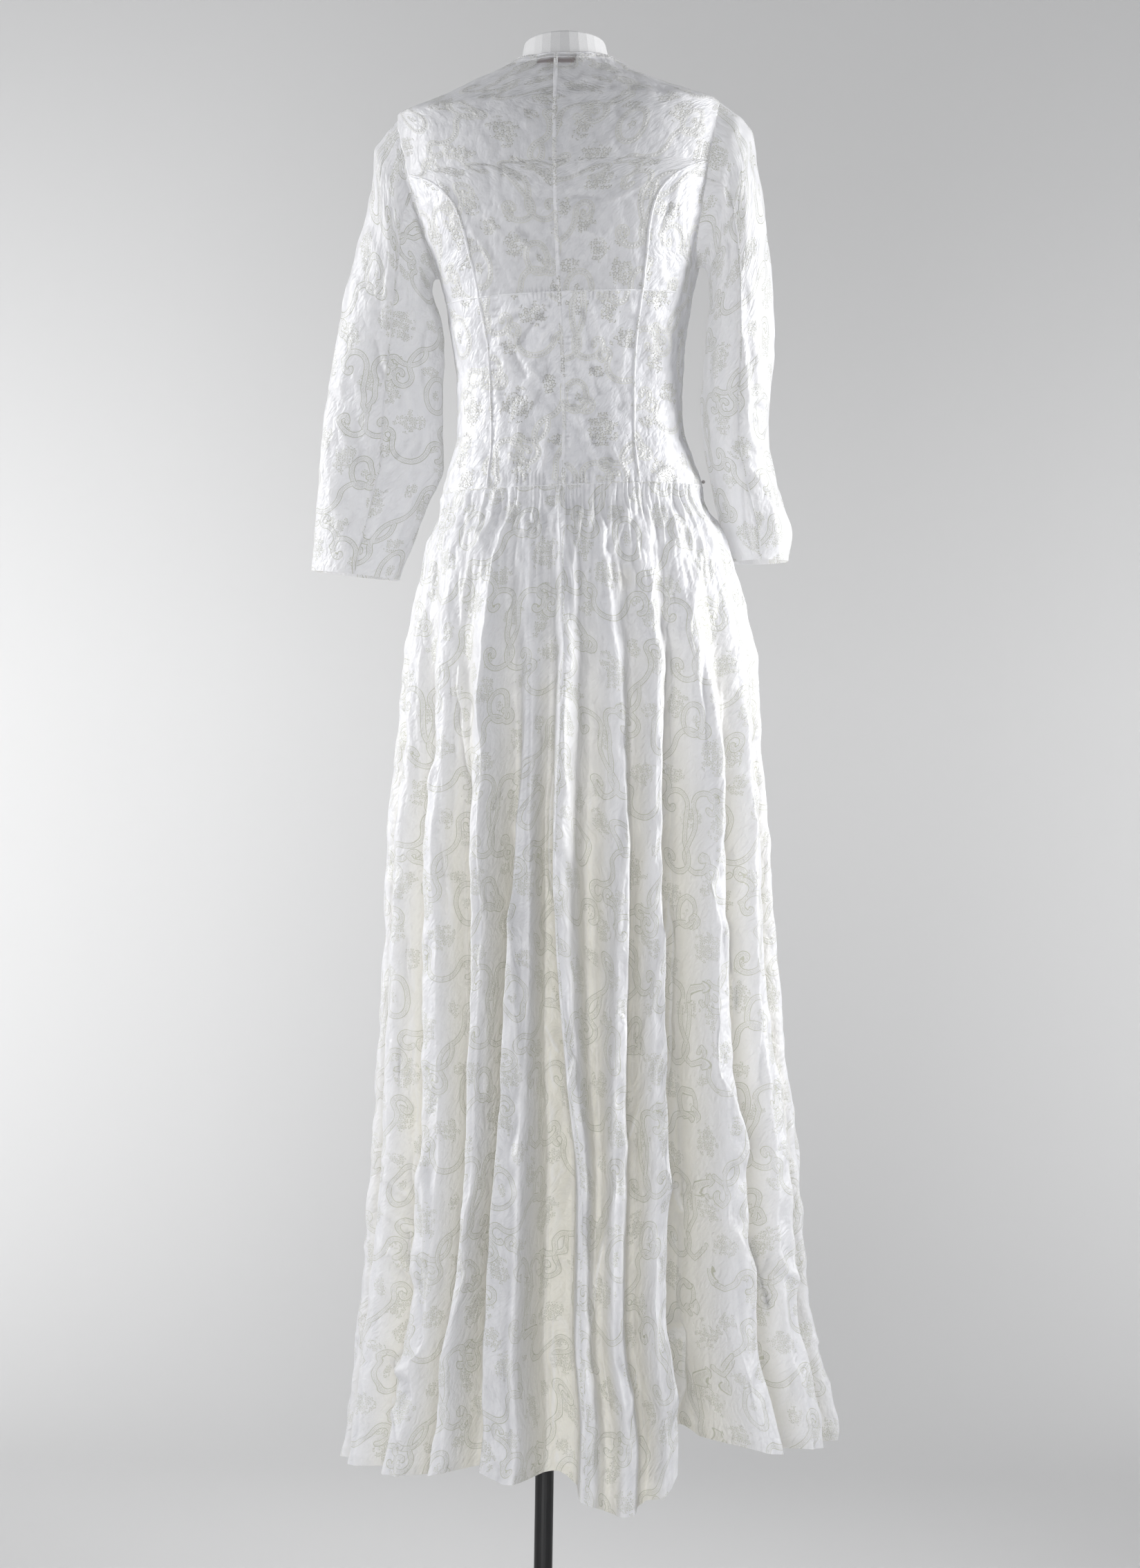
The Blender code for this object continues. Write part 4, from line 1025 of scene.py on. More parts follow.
SKIRT_SIDE_CREASES = (
    (2, 4, 4, -60, 1375, -75, 1300, -80, 1220),
    (2.5, 5, 5, -20, 1375, -28, 1290, -30, 1160),
    (1.8, 4, 4, 15, 1375, 20, 1310, 18, 1250),
    (2.5, 5, 5, 45, 1375, 58, 1290, 62, 1150),
    (2.5, 5, 5, -80, 1100, -85, 960, -78, 820),
    (-2.5, 5, 5, -40, 1000, -45, 860, -38, 700),
    (2.5, 5, 5, 30, 1050, 35, 900, 28, 760),
    (3, 5, 5, 80, 900, 85, 760, 95, 600),
    (2.5, 5, 5, -10, 700, 5, 560, -4, 400),
    (-2.5, 5, 5, 50, 640, 58, 500, 50, 360),
    (2.5, 4, 4, -110, 560, -120, 440, -115, 300),
    (1.8, 4, 4, -60, 420, -30, 380, 0, 370),
    (1.8, 4, 4, 100, 400, 70, 360, 60, 300),
)
# The first three rows are yellowish stains; the last two put cream on places in shade, which is
# painted warm shade.
STAINS_AND_WARM_SHADE = table(
    "x z radius strength",
    (0.078, 1.268, 0.014, 0.45),
    (0.112, 1.176, 0.012, 0.35),
    (-0.015, 1.136, 0.010, 0.30),
    (-0.150, 0.640, 0.016, 0.30),
    (0.200, 0.520, 0.018, 0.30),
)
FRONT_SHIFT = 0.055
SKIRT_CREASING = 1.35


def skirt_relief(points):
    """How far creases and crumples lift the skirt's cloth, and how much cream its stains and
    painted warm shade add.
    """
    x, y, z = points[..., 0], points[..., 1], points[..., 2]
    behind = ease((0.02 - y) / 0.06)
    lift = crease_relief(x, z, SKIRT_CREASES) * behind
    lift += crease_relief(FRONT_SHIFT - x, z, SKIRT_CREASES) * (1 - behind)
    flank = ease((np.abs(x - read(SKIRT, "centre", z)) - 0.10) / 0.06)
    lift += crease_relief(y, z, SKIRT_SIDE_CREASES) * flank
    gathered = ease((z - 1.16) / 0.16)
    hanging = 1 - 0.6 * gathered
    lift += 0.0030 * hanging * crumple(points, 0.034, 12.0, 31.0)
    lift += 0.0013 * hanging * crumple(points, 0.016, 1.8, 47.0)
    lift += 0.0009 * gathered * crumple(points, 0.006, 70.0, 63.0)
    stain_and_warm_shade = np.zeros(x.shape)
    for place_x, place_z, radius, strength in zip(*STAINS_AND_WARM_SHADE.values()):
        gap = np.hypot(x - place_x, z - place_z) / radius
        stain_and_warm_shade = np.maximum(stain_and_warm_shade, strength * np.exp(-(gap**2)) * behind)
    return SKIRT_CREASING * lift, stain_and_warm_shade


# %% Skirt sheets
SKIRT_PIECES = (
    ("skirt_back_left", 0, 5, "left_skirt_seam"),
    ("skirt_back_right", 5, 10, "centre_skirt_seam"),
    ("skirt_front", 10, 20, "right_skirt_seam"),
)
levels = np.linspace(0, 1, SKIRT_LEVELS) ** 1.1
back_places = np.arange(BACK_FOLDS * BACK_COLUMNS) / BACK_COLUMNS
front_places = BACK_FOLDS + np.arange(BACK_FOLDS * FRONT_COLUMNS) / FRONT_COLUMNS
places = np.concatenate([back_places, front_places])
skirt_cloth, warm_shade_and_stain = skirt_points(places, levels[::-1])
lift, stain_and_warm_shade = skirt_relief(skirt_cloth)
# The cream mask: painted warm shade in the fold recesses, plus the stains.
warm_shade_and_stain = np.clip(warm_shade_and_stain + stain_and_warm_shade, 0, 1)
axis = np.stack([read(SKIRT, "centre", skirt_cloth[..., 2]), 0 * lift, skirt_cloth[..., 2]], -1)
spoke = skirt_cloth - axis
spoke /= np.linalg.norm(spoke, axis=-1, keepdims=True)
lift *= ease(levels[::-1] / 0.006)[:, None]
skirt_cloth += spoke * lift[..., None]
skirt_out = directions(skirt_cloth, closed=True)
for name, first, last, seam in SKIRT_PIECES:
    picks = np.flatnonzero((places >= first) & (places <= last))
    if last == FOLD_COUNT:
        picks = np.append(picks, 0)
    points = skirt_cloth[:, picks]
    down = np.linalg.norm(np.diff(points, axis=0), axis=-1)
    edge = np.concatenate([np.zeros((1, points.shape[1])), np.cumsum(down, 0)])
    piece = sheet(f"{name}_cloth", points, cloth_map(points), hem_fold(edge))
    mark(piece, "warm_shade_and_stain", warm_shade_and_stain[:, picks])
    SEAM_LINES[seam] = points[:, 0], skirt_out[:, picks[0]]
print("skirt", skirt_cloth.shape[:2], "points")

# %% [markdown]
# ## Seams
# Two sheets that meet edge to edge look like paper. On the dress the seam is felled, so its
# allowances lie under a narrow raised band. Each seam is a thin strip that follows the seam
# line over the creased cloth, with its own rounded section.

# %% Seam strips
FELLED = (
    (-2.4, -0.1), (-2.0, 0.3), (-1.4, 0.22), (-0.6, 0.45),
    (0.6, 0.45), (1.4, 0.22), (2.0, 0.3), (2.4, -0.1),
)
CORDED = ((-1.7, -0.1), (-1.1, 0.6), (-0.4, 1.2), (0.4, 1.2), (1.1, 0.6), (1.7, -0.1))
PRESSED = ((-1.2, -0.1), (-0.6, 0.3), (0.0, 0.42), (0.6, 0.3), (1.2, -0.1))
STITCHED = ((-0.5, -0.1), (-0.2, 0.16), (0.2, 0.16), (0.5, -0.1))
SEAM_STEP = 0.002
SEAM_COVER = 0.6
SEAMS = []


def seam_strip(name, line, out, section):
    """A raised strip along a line on the cloth, with a section in millimetres."""
    run = np.gradient(line, axis=0)
    run /= np.linalg.norm(run, axis=-1, keepdims=True)
    beside = np.cross(run, out)
    beside /= np.linalg.norm(beside, axis=-1, keepdims=True)
    places = np.array(section) / 1000
    points = line[:, None] + beside[:, None] * places[:, :1] + out[:, None] * places[:, 1:]
    sheet(name, points, cloth_map(points), np.full(points.shape[:2], SEAM_COVER))
    SEAMS.append(name)


def on_bodice(angles, heights):
    """Points and outward directions along a line on the bodice."""
    line = bodice_points(angles, heights)
    across = bodice_points(angles + 0.012, heights) - bodice_points(angles - 0.012, heights)
    upward = bodice_points(angles, heights + 0.0015) - bodice_points(angles, heights - 0.0015)
    out = np.cross(across, upward)
    return line, out / np.linalg.norm(out, axis=-1, keepdims=True)


def rising_seam(name, edge, side, low, high, section):
    """A seam that runs up the bodice."""
    heights = np.linspace(low, high, math.ceil((high - low) / SEAM_STEP))
    seam_strip(name, *on_bodice(edge(heights, side), heights), section)


def level_seam(name, height, start, end, section):
    """A seam that runs round the bodice."""
    count = math.ceil((end - start) * 0.14 / SEAM_STEP)
    angles = np.linspace(start, end, count)
    seam_strip(name, *on_bodice(angles, np.full(count, height)), section)


def seams_of_both_sides(rows):
    """Seams that the right and the left side have alike."""
    for side, word in ((1, "right"), (-1, "left")):
        for name, edge, low, high, section in rows:
            rising_seam(f"{name}_{word}", edge, side, low, high, section)


# %% Seams of the bodice
LONG_SEAMS = (
    ("princess_seam", princess_back, WAIST_SEAM, PRINCESS_TOP - 0.002, CORDED),
    ("side_seam", side_seam, WAIST_SEAM, UNDERARM - 0.001, PRESSED),
    ("front_princess_seam", princess_front, WAIST_SEAM, PRINCESS_TOP - 0.002, PRESSED),
)
SHOULDER_SEAMS = (
    ("armhole_seam", armhole_back, UNDERARM + 0.001, SHOULDER_TIP - 0.001, PRESSED),
    ("front_armhole_seam", armhole_front, UNDERARM + 0.001, SHOULDER_TIP - 0.001, PRESSED),
    ("shoulder_seam", side_seam, SHOULDER_TIP, NECKLINE - 0.0005, PRESSED),
)
rising_seam("centre_back_seam", centre_back, 1, WAIST_SEAM, NECKLINE - 0.0005, FELLED)
seams_of_both_sides(LONG_SEAMS)
level_seam("mid_back_seam", MID_SEAM, -math.pi / 2, math.pi / 2, PRESSED)
level_seam("waist_seam", WAIST_SEAM, 0, 2 * math.pi, PRESSED)
seams_of_both_sides(SHOULDER_SEAMS)
level_seam("neck_edge", NECKLINE - 0.0014, 0, 2 * math.pi, PRESSED)
level_seam("neck_stitching", NECKLINE - 0.0062, 0, 2 * math.pi, STITCHED)
print("seams of the bodice", len(SEAMS))

# %% Seams of the sleeves and skirt
for name, (line, out) in SEAM_LINES.items():
    seam_strip(name, line, out, PRESSED)
print("seams", len(SEAMS))

# %% [markdown]
# ## The print's chart
# The cloth is printed all over with a small repeat: narrow double-outlined bands filled with
# little rings, which curl into scrolls and ovals, and bunches of tiny flowers between them.
# The chart is drawn with arcs, as with a pair of compasses, and repeats in a half drop. Its
# layout is this part's own. For each face of the cloth the two nearest arcs are found here,
# and the place beside and along them is stored, so the material only has to draw their lines.

# %% Chart of the print
REPEAT_WIDE = 169.0
REPEAT_HIGH = 219.1
BAND_REACH = 3.5
BUNCH_REACH = 30
BUNCH_SPREAD = 1.05
BUNCH_HEART = 1.4
FACES_AT_A_TIME = 20000
FAR_AWAY = 9.0
PRINT_START = 500
PRINT_SHIFT = (37.0, 59.0)
STROKES = (
    (40, 30, 62, (62.0, 44), (-15.0, 215), (-5.0, 150)),
    (40, 30, 118, (-62.0, 44), (15.0, 215), (5.0, 150)),
    (40, 30, 235, (17.0, 210), (5.5, 200)),
    (40, 30, 305, (-17.0, 210), (-5.5, 200)),
    (150, 62, 90, (33.0, 30), (12.5, 120), (33.0, 60), (12.5, 120), (33.0, 30)),
    (108, 120, 200, (24.0, 105), (-11.0, 235), (-5.0, 150)),
    (108, 120, 20, (30.0, 80), (-9.5, 230), (-4.8, 150)),
    (108, 120, 290, (-20.0, 150), (6.0, 250)),
    (52, 178, 90, (24.0, 30), (11.0, 120), (24.0, 60), (11.0, 120), (24.0, 30)),
    (16, 150, 260, (-26.0, 100), (9.0, 240)),
    (16, 150, 80, (-19.0, 120), (7.5, 260)),
    (88, 196, 340, (26.0, 90), (-11.0, 250)),
    (88, 196, 160, (-18.0, 100), (6.5, 270)),
    (4, 84, 30, (14.0, 150), (-6.0, 240)),
)
BUNCHES = table(
    "x y wide high",
    (40, 66, 15, 13),
    (134, 62, 6, 8),
    (42, 178, 5, 6),
    (78, 60, 12, 20),
    (122, 92, 14, 9),
    (70, 138, 20, 22),
    (138, 140, 14, 16),
    (112, 160, 9, 12),
    (14, 112, 16, 12),
    (100, 24, 20, 15),
    (156, 108, 13, 14),
    (66, 206, 11, 9),
    (146, 192, 18, 18),
    (14, 12, 8, 10),
    (16, 194, 15, 18),
    (74, 96, 9, 8),
    (128, 212, 9, 6),
)
print("chart", len(STROKES), "strokes,", len(BUNCHES["x"]), "bunches")


# %% Arcs and repeats
def chart_arcs():
    """Every arc of the chart: centre, radius, first direction, sweep and length before it."""
    arcs = []
    for x, y, heading, *turns in STROKES:
        heading = math.radians(heading)
        before = 0.0
        for radius, sweep in turns:
            way = math.copysign(1, radius)
            radius, sweep = abs(radius), math.radians(sweep)
            centre_x = x - way * radius * math.sin(heading)
            centre_y = y + way * radius * math.cos(heading)
            first = math.atan2(y - centre_y, x - centre_x)
            arcs.append((centre_x, centre_y, radius, first, way * sweep, before))
            x = centre_x + radius * math.cos(first + way * sweep)
            y = centre_y + radius * math.sin(first + way * sweep)
            heading += way * sweep
            before += radius * sweep
    return np.array(arcs)


def repeats(rows, reach):
    """Copies of rows that start with x and y, wherever they reach into one repeat."""
    copies = []
    for column in (-1, 0, 1):
        for row in (-2, -1, 0, 1, 2):
            moved = rows.copy()
            moved[:, 0] += column * REPEAT_WIDE
            moved[:, 1] += column * REPEAT_HIGH / 2 + row * REPEAT_HIGH
            inside = (moved[:, 0] + reach > 0) & (moved[:, 0] - reach < REPEAT_WIDE)
            inside &= (moved[:, 1] + reach > 0) & (moved[:, 1] - reach < REPEAT_HIGH)
            copies.append(moved[inside])
    return np.vstack(copies)


def in_repeat(place):
    """The same places moved into one repeat."""
    column = np.floor(place[:, :1] / REPEAT_WIDE)
    x = place[:, :1] - column * REPEAT_WIDE
    y = np.mod(place[:, 1:] - column * REPEAT_HIGH / 2, REPEAT_HIGH)
    return np.concatenate([x, y], 1)


def beside_arc(place, arc):
    """Distance beside an arc, length along it and distance past its ends."""
    aside = place - arc[..., :2]
    reach = np.hypot(aside[..., 0], aside[..., 1])
    sweep = np.abs(arc[..., 4])
    turn = (np.arctan2(aside[..., 1], aside[..., 0]) - arc[..., 3]) * np.sign(arc[..., 4])
    spare = 2 * math.pi - sweep
    turn = np.mod(turn + spare / 2, 2 * math.pi) - spare / 2
    past = np.maximum(-turn, turn - sweep) * np.minimum(reach, arc[..., 2])
    along = arc[..., 5] + np.clip(turn, 0, sweep) * arc[..., 2]
    return np.stack([reach - arc[..., 2], along, past], -1)


ARCS = chart_arcs()
ARC_COPIES = repeats(ARCS, ARCS[:, 2].max() + BAND_REACH)
BUNCH_COPIES = repeats(np.stack(list(BUNCHES.values()), 1), BUNCH_REACH)
print("arcs", len(ARCS), "in one repeat,", len(ARC_COPIES), "with copies")


# %% Print on the cloth
def nearest_arcs(place):
    """For each place, the two arcs whose lines pass nearest."""
    both = np.empty((len(place), 2, ARC_COPIES.shape[1]))
    for start in range(0, len(place), FACES_AT_A_TIME):
        part = slice(start, start + FACES_AT_A_TIME)
        found = beside_arc(place[part, None], ARC_COPIES[None])
        gap = np.hypot(found[..., 0], np.maximum(found[..., 2], 0))
        order = np.argpartition(gap, 1, axis=1)[:, :2]
        both[part] = ARC_COPIES[order]
        swap = np.take_along_axis(gap, order, 1)
        flip = swap[:, 0] > swap[:, 1]
        both[part][flip] = both[part][flip][:, ::-1]
    return both


def print_cloth(row, shift):
    """Store the print on every face corner of a sheet."""
    corner = row["corner"] * 1000 + shift
    middle = corner.reshape(-1, 4, 2).mean(1)
    home = in_repeat(middle)
    local = corner + np.repeat(home - middle, 4, axis=0)
    arcs = nearest_arcs(home)
    data = row["piece"].data
    for number, word in enumerate(("one", "two")):
        places = beside_arc(local, np.repeat(arcs[:, number], 4, axis=0))
        data.attributes.new(f"band_{word}", "FLOAT_VECTOR", "CORNER").data.foreach_set(
            "vector", places.reshape(-1).astype(np.float32)
        )
    gap = np.full(len(local), FAR_AWAY)
    for x, y, wide, high in BUNCH_COPIES:
        aside, above = (local[:, 0] - x) / wide, (local[:, 1] - y) / high
        gap = np.minimum(gap, np.hypot(aside, above) / BUNCH_SPREAD)
    data.attributes.new("bunch", "FLOAT", "CORNER").data.foreach_set(
        "value", np.clip(BUNCH_HEART - gap, 0, BUNCH_HEART).astype(np.float32)
    )


for number, (name, row) in enumerate(CLOTH.items()):
    print_cloth(row, np.array(PRINT_SHIFT) * number + PRINT_START)
print("printed", len(CLOTH), "pieces")

# %% [markdown]
# ## Material tools
# Each material is a small net of nodes. These helpers add one node at a time and pass its
# output on, so that a net reads like a formula.


# %% Node helpers
def connect(tree, socket, value):
    """Feed a socket with another node's output, a number or a colour."""
    if isinstance(value, bpy.types.NodeSocket):
        tree.links.new(value, socket)
    elif isinstance(value, tuple):
        socket.default_value = (*value, 1)
    else:
        socket.default_value = value


def calculate(tree, operation, *values):
    """A Math node's output from sockets or numbers."""
    node = tree.nodes.new("ShaderNodeMath")
    node.operation = operation
    for socket, value in zip(node.inputs, values):
        connect(tree, socket, value)
    return node.outputs[0]


def chain(tree, operation, value, *others):
    """Several values joined one after the other by the same operation."""
    for other in others:
        value = calculate(tree, operation, value, other)
    return value


def smooth_range(tree, value, low, high, start=0.0, end=1.0):
    """A smooth change from one value to another between two limits."""
    node = tree.nodes.new("ShaderNodeMapRange")
    node.interpolation_type = "SMOOTHSTEP"
    names = ("Value", "From Min", "From Max", "To Min", "To Max")
    for name, given in zip(names, (value, low, high, start, end)):
        connect(tree, node.inputs[name], given)
    return node.outputs["Result"]


def mix_colour(tree, share, first, second):
    """Two colours mixed by a mask."""
    node = tree.nodes.new("ShaderNodeMix")
    node.data_type = "RGBA"
    for socket, value in zip((node.inputs["Factor"], *node.inputs[6:8]), (share, first, second)):
        connect(tree, socket, value)
    return node.outputs[2]


def vector_step(tree, operation, first, second):
    """A Vector Math node's output from two sockets."""
    node = tree.nodes.new("ShaderNodeVectorMath")
    node.operation = operation
    tree.links.new(first, node.inputs[0])
    tree.links.new(second, node.inputs["Scale" if operation == "SCALE" else 1])
    return node.outputs[0]


def separate(tree, vector):
    """A vector's three parts."""
    node = tree.nodes.new("ShaderNodeSeparateXYZ")
    tree.links.new(vector, node.inputs[0])
    return node.outputs


def length_of(tree, x, y):
    """The length of a step across and along."""
    join = tree.nodes.new("ShaderNodeCombineXYZ")
    tree.links.new(x, join.inputs[0])
    tree.links.new(y, join.inputs[1])
    node = tree.nodes.new("ShaderNodeVectorMath")
    node.operation = "LENGTH"
    tree.links.new(join.outputs[0], node.inputs[0])
    return node.outputs["Value"]


def attribute(tree, name, output="Fac"):
    """A stored attribute's output."""
    node = tree.nodes.new("ShaderNodeAttribute")
    node.attribute_name = name
    return node.outputs[output]


def cloth_place(tree):
    """The place on the cloth's own map, in metres."""
    node = tree.nodes.new("ShaderNodeUVMap")
    node.uv_map = "cloth"
    return node.outputs[0]


def stretched_noise(tree, vector, scale, detail, roughness=0.5):
    """Noise over a vector that is scaled on each axis."""
    mapping = tree.nodes.new("ShaderNodeMapping")
    tree.links.new(vector, mapping.inputs["Vector"])
    mapping.inputs["Scale"].default_value = scale
    node = tree.nodes.new("ShaderNodeTexNoise")
    node.inputs["Scale"].default_value = 1.0
    node.inputs["Detail"].default_value = detail
    node.inputs["Roughness"].default_value = roughness
    tree.links.new(mapping.outputs[0], node.inputs["Vector"])
    return node.outputs["Fac"]


def new_group(name, outputs, **inputs):
    """An empty node group with named sockets: its tree, what it is given and what it makes."""
    tree = bpy.data.node_groups.new(name, "ShaderNodeTree")
    for socket, default in inputs.items():
        made = tree.interface.new_socket(
            socket.replace("_", " "), in_out="INPUT", socket_type="NodeSocketFloat"
        )
        made.default_value = default
    for socket in outputs:
        tree.interface.new_socket(socket, in_out="OUTPUT", socket_type="NodeSocketFloat")
    return tree, tree.nodes.new("NodeGroupInput").outputs, tree.nodes.new("NodeGroupOutput").inputs


def use_group(tree, group, **values):
    """A node group placed in a material with its own values."""
    node = tree.nodes.new("ShaderNodeGroup")
    node.node_tree = group
    for name, value in values.items():
        node.inputs[name.replace("_", " ")].default_value = value
    return node.outputs


# %% [markdown]
# ## The print's lines
# The print is a node group. It reads the places stored on the cloth and draws two outlines and
# a row of little rings for each band, and five-petalled flowers where a bunch lies. It puts out
# a mask for colour and a height for the raised thread of the bodice.

# %% Bands
OUTLINE_BESIDE = 2.9
OUTLINE_HALF = 0.42
BAND_EDGE = (3.1, 3.4)
RING_STEP = 3.6
RING_RADIUS = 1.2
RING_HALF = 0.34
RING_INK = 0.5
BAND_TINT = 0.03


def draw_band(tree, name):
    """One printed band: its lines, its dome and the ground that it covers, in millimetres."""
    beside, along, past = separate(tree, attribute(tree, name, "Vector"))
    gap = length_of(tree, beside, calculate(tree, "MAXIMUM", past, 0.0))
    outline = calculate(tree, "COMPARE", gap, OUTLINE_BESIDE, OUTLINE_HALF)
    step = calculate(tree, "FLOORED_MODULO", along, RING_STEP)
    ring = length_of(tree, beside, calculate(tree, "SUBTRACT", step, RING_STEP / 2))
    hoop = calculate(tree, "COMPARE", ring, RING_RADIUS, RING_HALF)
    within = smooth_range(tree, gap, *BAND_EDGE, 1.0, 0.0)
    hoop = chain(tree, "MULTIPLY", hoop, within, RING_INK)
    tint = calculate(tree, "MULTIPLY", within, BAND_TINT)
    bead = smooth_range(tree, ring, 0.4, 1.7, 1.0, 0.4)
    dome = calculate(tree, "MULTIPLY", smooth_range(tree, gap, 1.8, 3.5, 0.7, 0.0), bead)
    lines = chain(tree, "MAXIMUM", outline, hoop, tint)
    return lines, calculate(tree, "MAXIMUM", dome, outline), within


# %% Flowers
PETALS = 5.0
PETAL_REACH = 0.37
PETAL_WAVE = 0.14
MOSS_TINT = 0.06


def flower_cells(tree, flower_size):
    """Cells of one flower each: the way to the middle, the distance and two random tones."""
    per_metre = calculate(tree, "DIVIDE", 1000.0, flower_size)
    place = vector_step(tree, "SCALE", cloth_place(tree), per_metre)
    cells = tree.nodes.new("ShaderNodeTexVoronoi")
    cells.voronoi_dimensions = "2D"
    cells.inputs["Scale"].default_value = 1.0
    cells.inputs["Randomness"].default_value = 0.5
    tree.links.new(place, cells.inputs["Vector"])
    way = separate(tree, vector_step(tree, "SUBTRACT", place, cells.outputs["Position"]))
    tone = tree.nodes.new("ShaderNodeSeparateColor")
    tree.links.new(cells.outputs["Color"], tone.inputs[0])
    return way, cells.outputs["Distance"], tone.outputs[0], tone.outputs[1]


def draw_flowers(tree, flower_size, bare):
    """Small flowers on the bare cloth of the bunches: their lines and their raised petals."""
    way, distance, turn, size = flower_cells(tree, flower_size)
    angle = calculate(tree, "MULTIPLY", calculate(tree, "ARCTAN2", way[1], way[0]), PETALS)
    angle = calculate(tree, "ADD", angle, calculate(tree, "MULTIPLY", turn, 6.0))
    wave = calculate(tree, "MULTIPLY", calculate(tree, "COSINE", angle), PETAL_WAVE)
    reach = calculate(tree, "DIVIDE", distance, calculate(tree, "ADD", PETAL_REACH, wave))
    off_edge = calculate(tree, "ABSOLUTE", calculate(tree, "SUBTRACT", reach, 0.95))
    edge = smooth_range(tree, off_edge, 0.08, 0.26, 1.0, 0.0)
    heart = smooth_range(tree, distance, 0.08, 0.16, 0.9, 0.0)
    bunch = attribute(tree, "bunch")
    least = calculate(tree, "ADD", 0.35, calculate(tree, "MULTIPLY", size, 0.5))
    grown = calculate(tree, "MULTIPLY", calculate(tree, "GREATER_THAN", bunch, least), bare)
    lines = calculate(tree, "MULTIPLY", calculate(tree, "MAXIMUM", edge, heart), grown)
    moss = calculate(tree, "MULTIPLY", smooth_range(tree, bunch, 0.6, 1.3, 0.0, MOSS_TINT), grown)
    petals = calculate(tree, "MULTIPLY", smooth_range(tree, reach, 0.6, 1.1, 0.6, 0.0), grown)
    return calculate(tree, "MAXIMUM", lines, moss), petals


# %% Print group
def print_group():
    """The printed scrolls and flowers."""
    tree, given, made = new_group("scroll print", ("Print", "Relief"), Flower_Size=6.0)
    first, first_dome, first_within = draw_band(tree, "band_one")
    second, second_dome, second_within = draw_band(tree, "band_two")
    beside_first = calculate(tree, "SUBTRACT", 1.0, first_within)
    beside_second = calculate(tree, "SUBTRACT", 1.0, second_within)
    bare = calculate(tree, "MULTIPLY", beside_first, beside_second)
    second = calculate(tree, "MULTIPLY", second, beside_first)
    flowers, petals = draw_flowers(tree, given["Flower Size"], bare)
    tree.links.new(chain(tree, "MAXIMUM", first, second, flowers), made["Print"])
    tree.links.new(chain(tree, "MAXIMUM", first_dome, second_dome, petals), made["Relief"])
    return tree


PRINT = print_group()

# %% [markdown]
# ## The cloth's grain
# Voile has fine upright threads with thicker ones between them, and after years of folding it is
# full of small sharp dents. Both are groups that read the cloth's own map.


# %% Weave and crumple groups
def weave_group():
    """Upright threads with a few thicker ones."""
    tree, given, made = new_group("voile weave", ("Threads",), Thick_Share=0.4)
    fine = stretched_noise(tree, cloth_place(tree), (2200, 90, 1), 2.0)
    broad = stretched_noise(tree, cloth_place(tree), (420, 9, 1), 2.0)
    fine_share = calculate(tree, "SUBTRACT", 1.0, given["Thick Share"])
    fine = calculate(tree, "MULTIPLY", fine, fine_share)
    broad = calculate(tree, "MULTIPLY", broad, given["Thick Share"])
    tree.links.new(calculate(tree, "ADD", fine, broad), made["Threads"])
    return tree


def crumple_group():
    """Small sharp dents of cloth that has been folded and worn."""
    tree, given, made = new_group("fine crumple", ("Dents",), Depth=1.0)
    broad = stretched_noise(tree, cloth_place(tree), (38, 17, 1), 2.0, 0.55)
    slant = tree.nodes.new("ShaderNodeMapping")
    slant.inputs["Rotation"].default_value = (0, 0, 0.6)
    tree.links.new(cloth_place(tree), slant.inputs["Vector"])
    small = stretched_noise(tree, slant.outputs[0], (125, 60, 1), 2.0, 0.5)
    folds = []
    for height, weight in ((broad, 2.2), (small, 1.3)):
        sharp = calculate(tree, "ABSOLUTE", calculate(tree, "SUBTRACT", height, 0.5))
        folds.append(calculate(tree, "MULTIPLY", sharp, weight))
    dents = calculate(tree, "MULTIPLY", calculate(tree, "ADD", *folds), given["Depth"])
    tree.links.new(dents, made["Dents"])
    return tree


WEAVE = weave_group()
DENTS = crumple_group()

# %% [markdown]
# ## Voile
# The cloth is white and its stains are creamy. Cream painted inside the skirt's folds stands for
# warm shade, creases get painted shade and their crests a painted highlight. The printed ink is
# matt and pale; on the bodice it is raised like beads, whose tops get a painted highlight, and on
# the sleeves it is painted darker, as it looks with light coming through.
# Light also passes through the cloth. Round the neck and on the sleeves it is a little sheer, and
# the label that lies against it shows through.

# %% Cloth colours
WHITE = (0.875, 0.88, 0.915)
WARM = (0.91, 0.905, 0.90)
CREAM = (0.92, 0.895, 0.80)
PAINTED_BEAD_HIGHLIGHT = (0.95, 0.945, 0.90)
SHADE = (0.52, 0.52, 0.54)
GLEAM = (0.96, 0.96, 0.98)
DOUBLED = (0.40, 0.38, 0.30)
SKIRT_INK = (0.64, 0.645, 0.555)
# The sleeves' ink is the print painted darker than the skirt's, as it looks with light coming
# through the sheer sleeves.
BACKLIT_SLEEVE_INK = (0.54, 0.545, 0.46)
BODICE_INK = (0.76, 0.76, 0.67)
THREAD_DARKNESS = 0.955
CREAM_SHARE = 0.9
CREST_GLEAM = 0.45


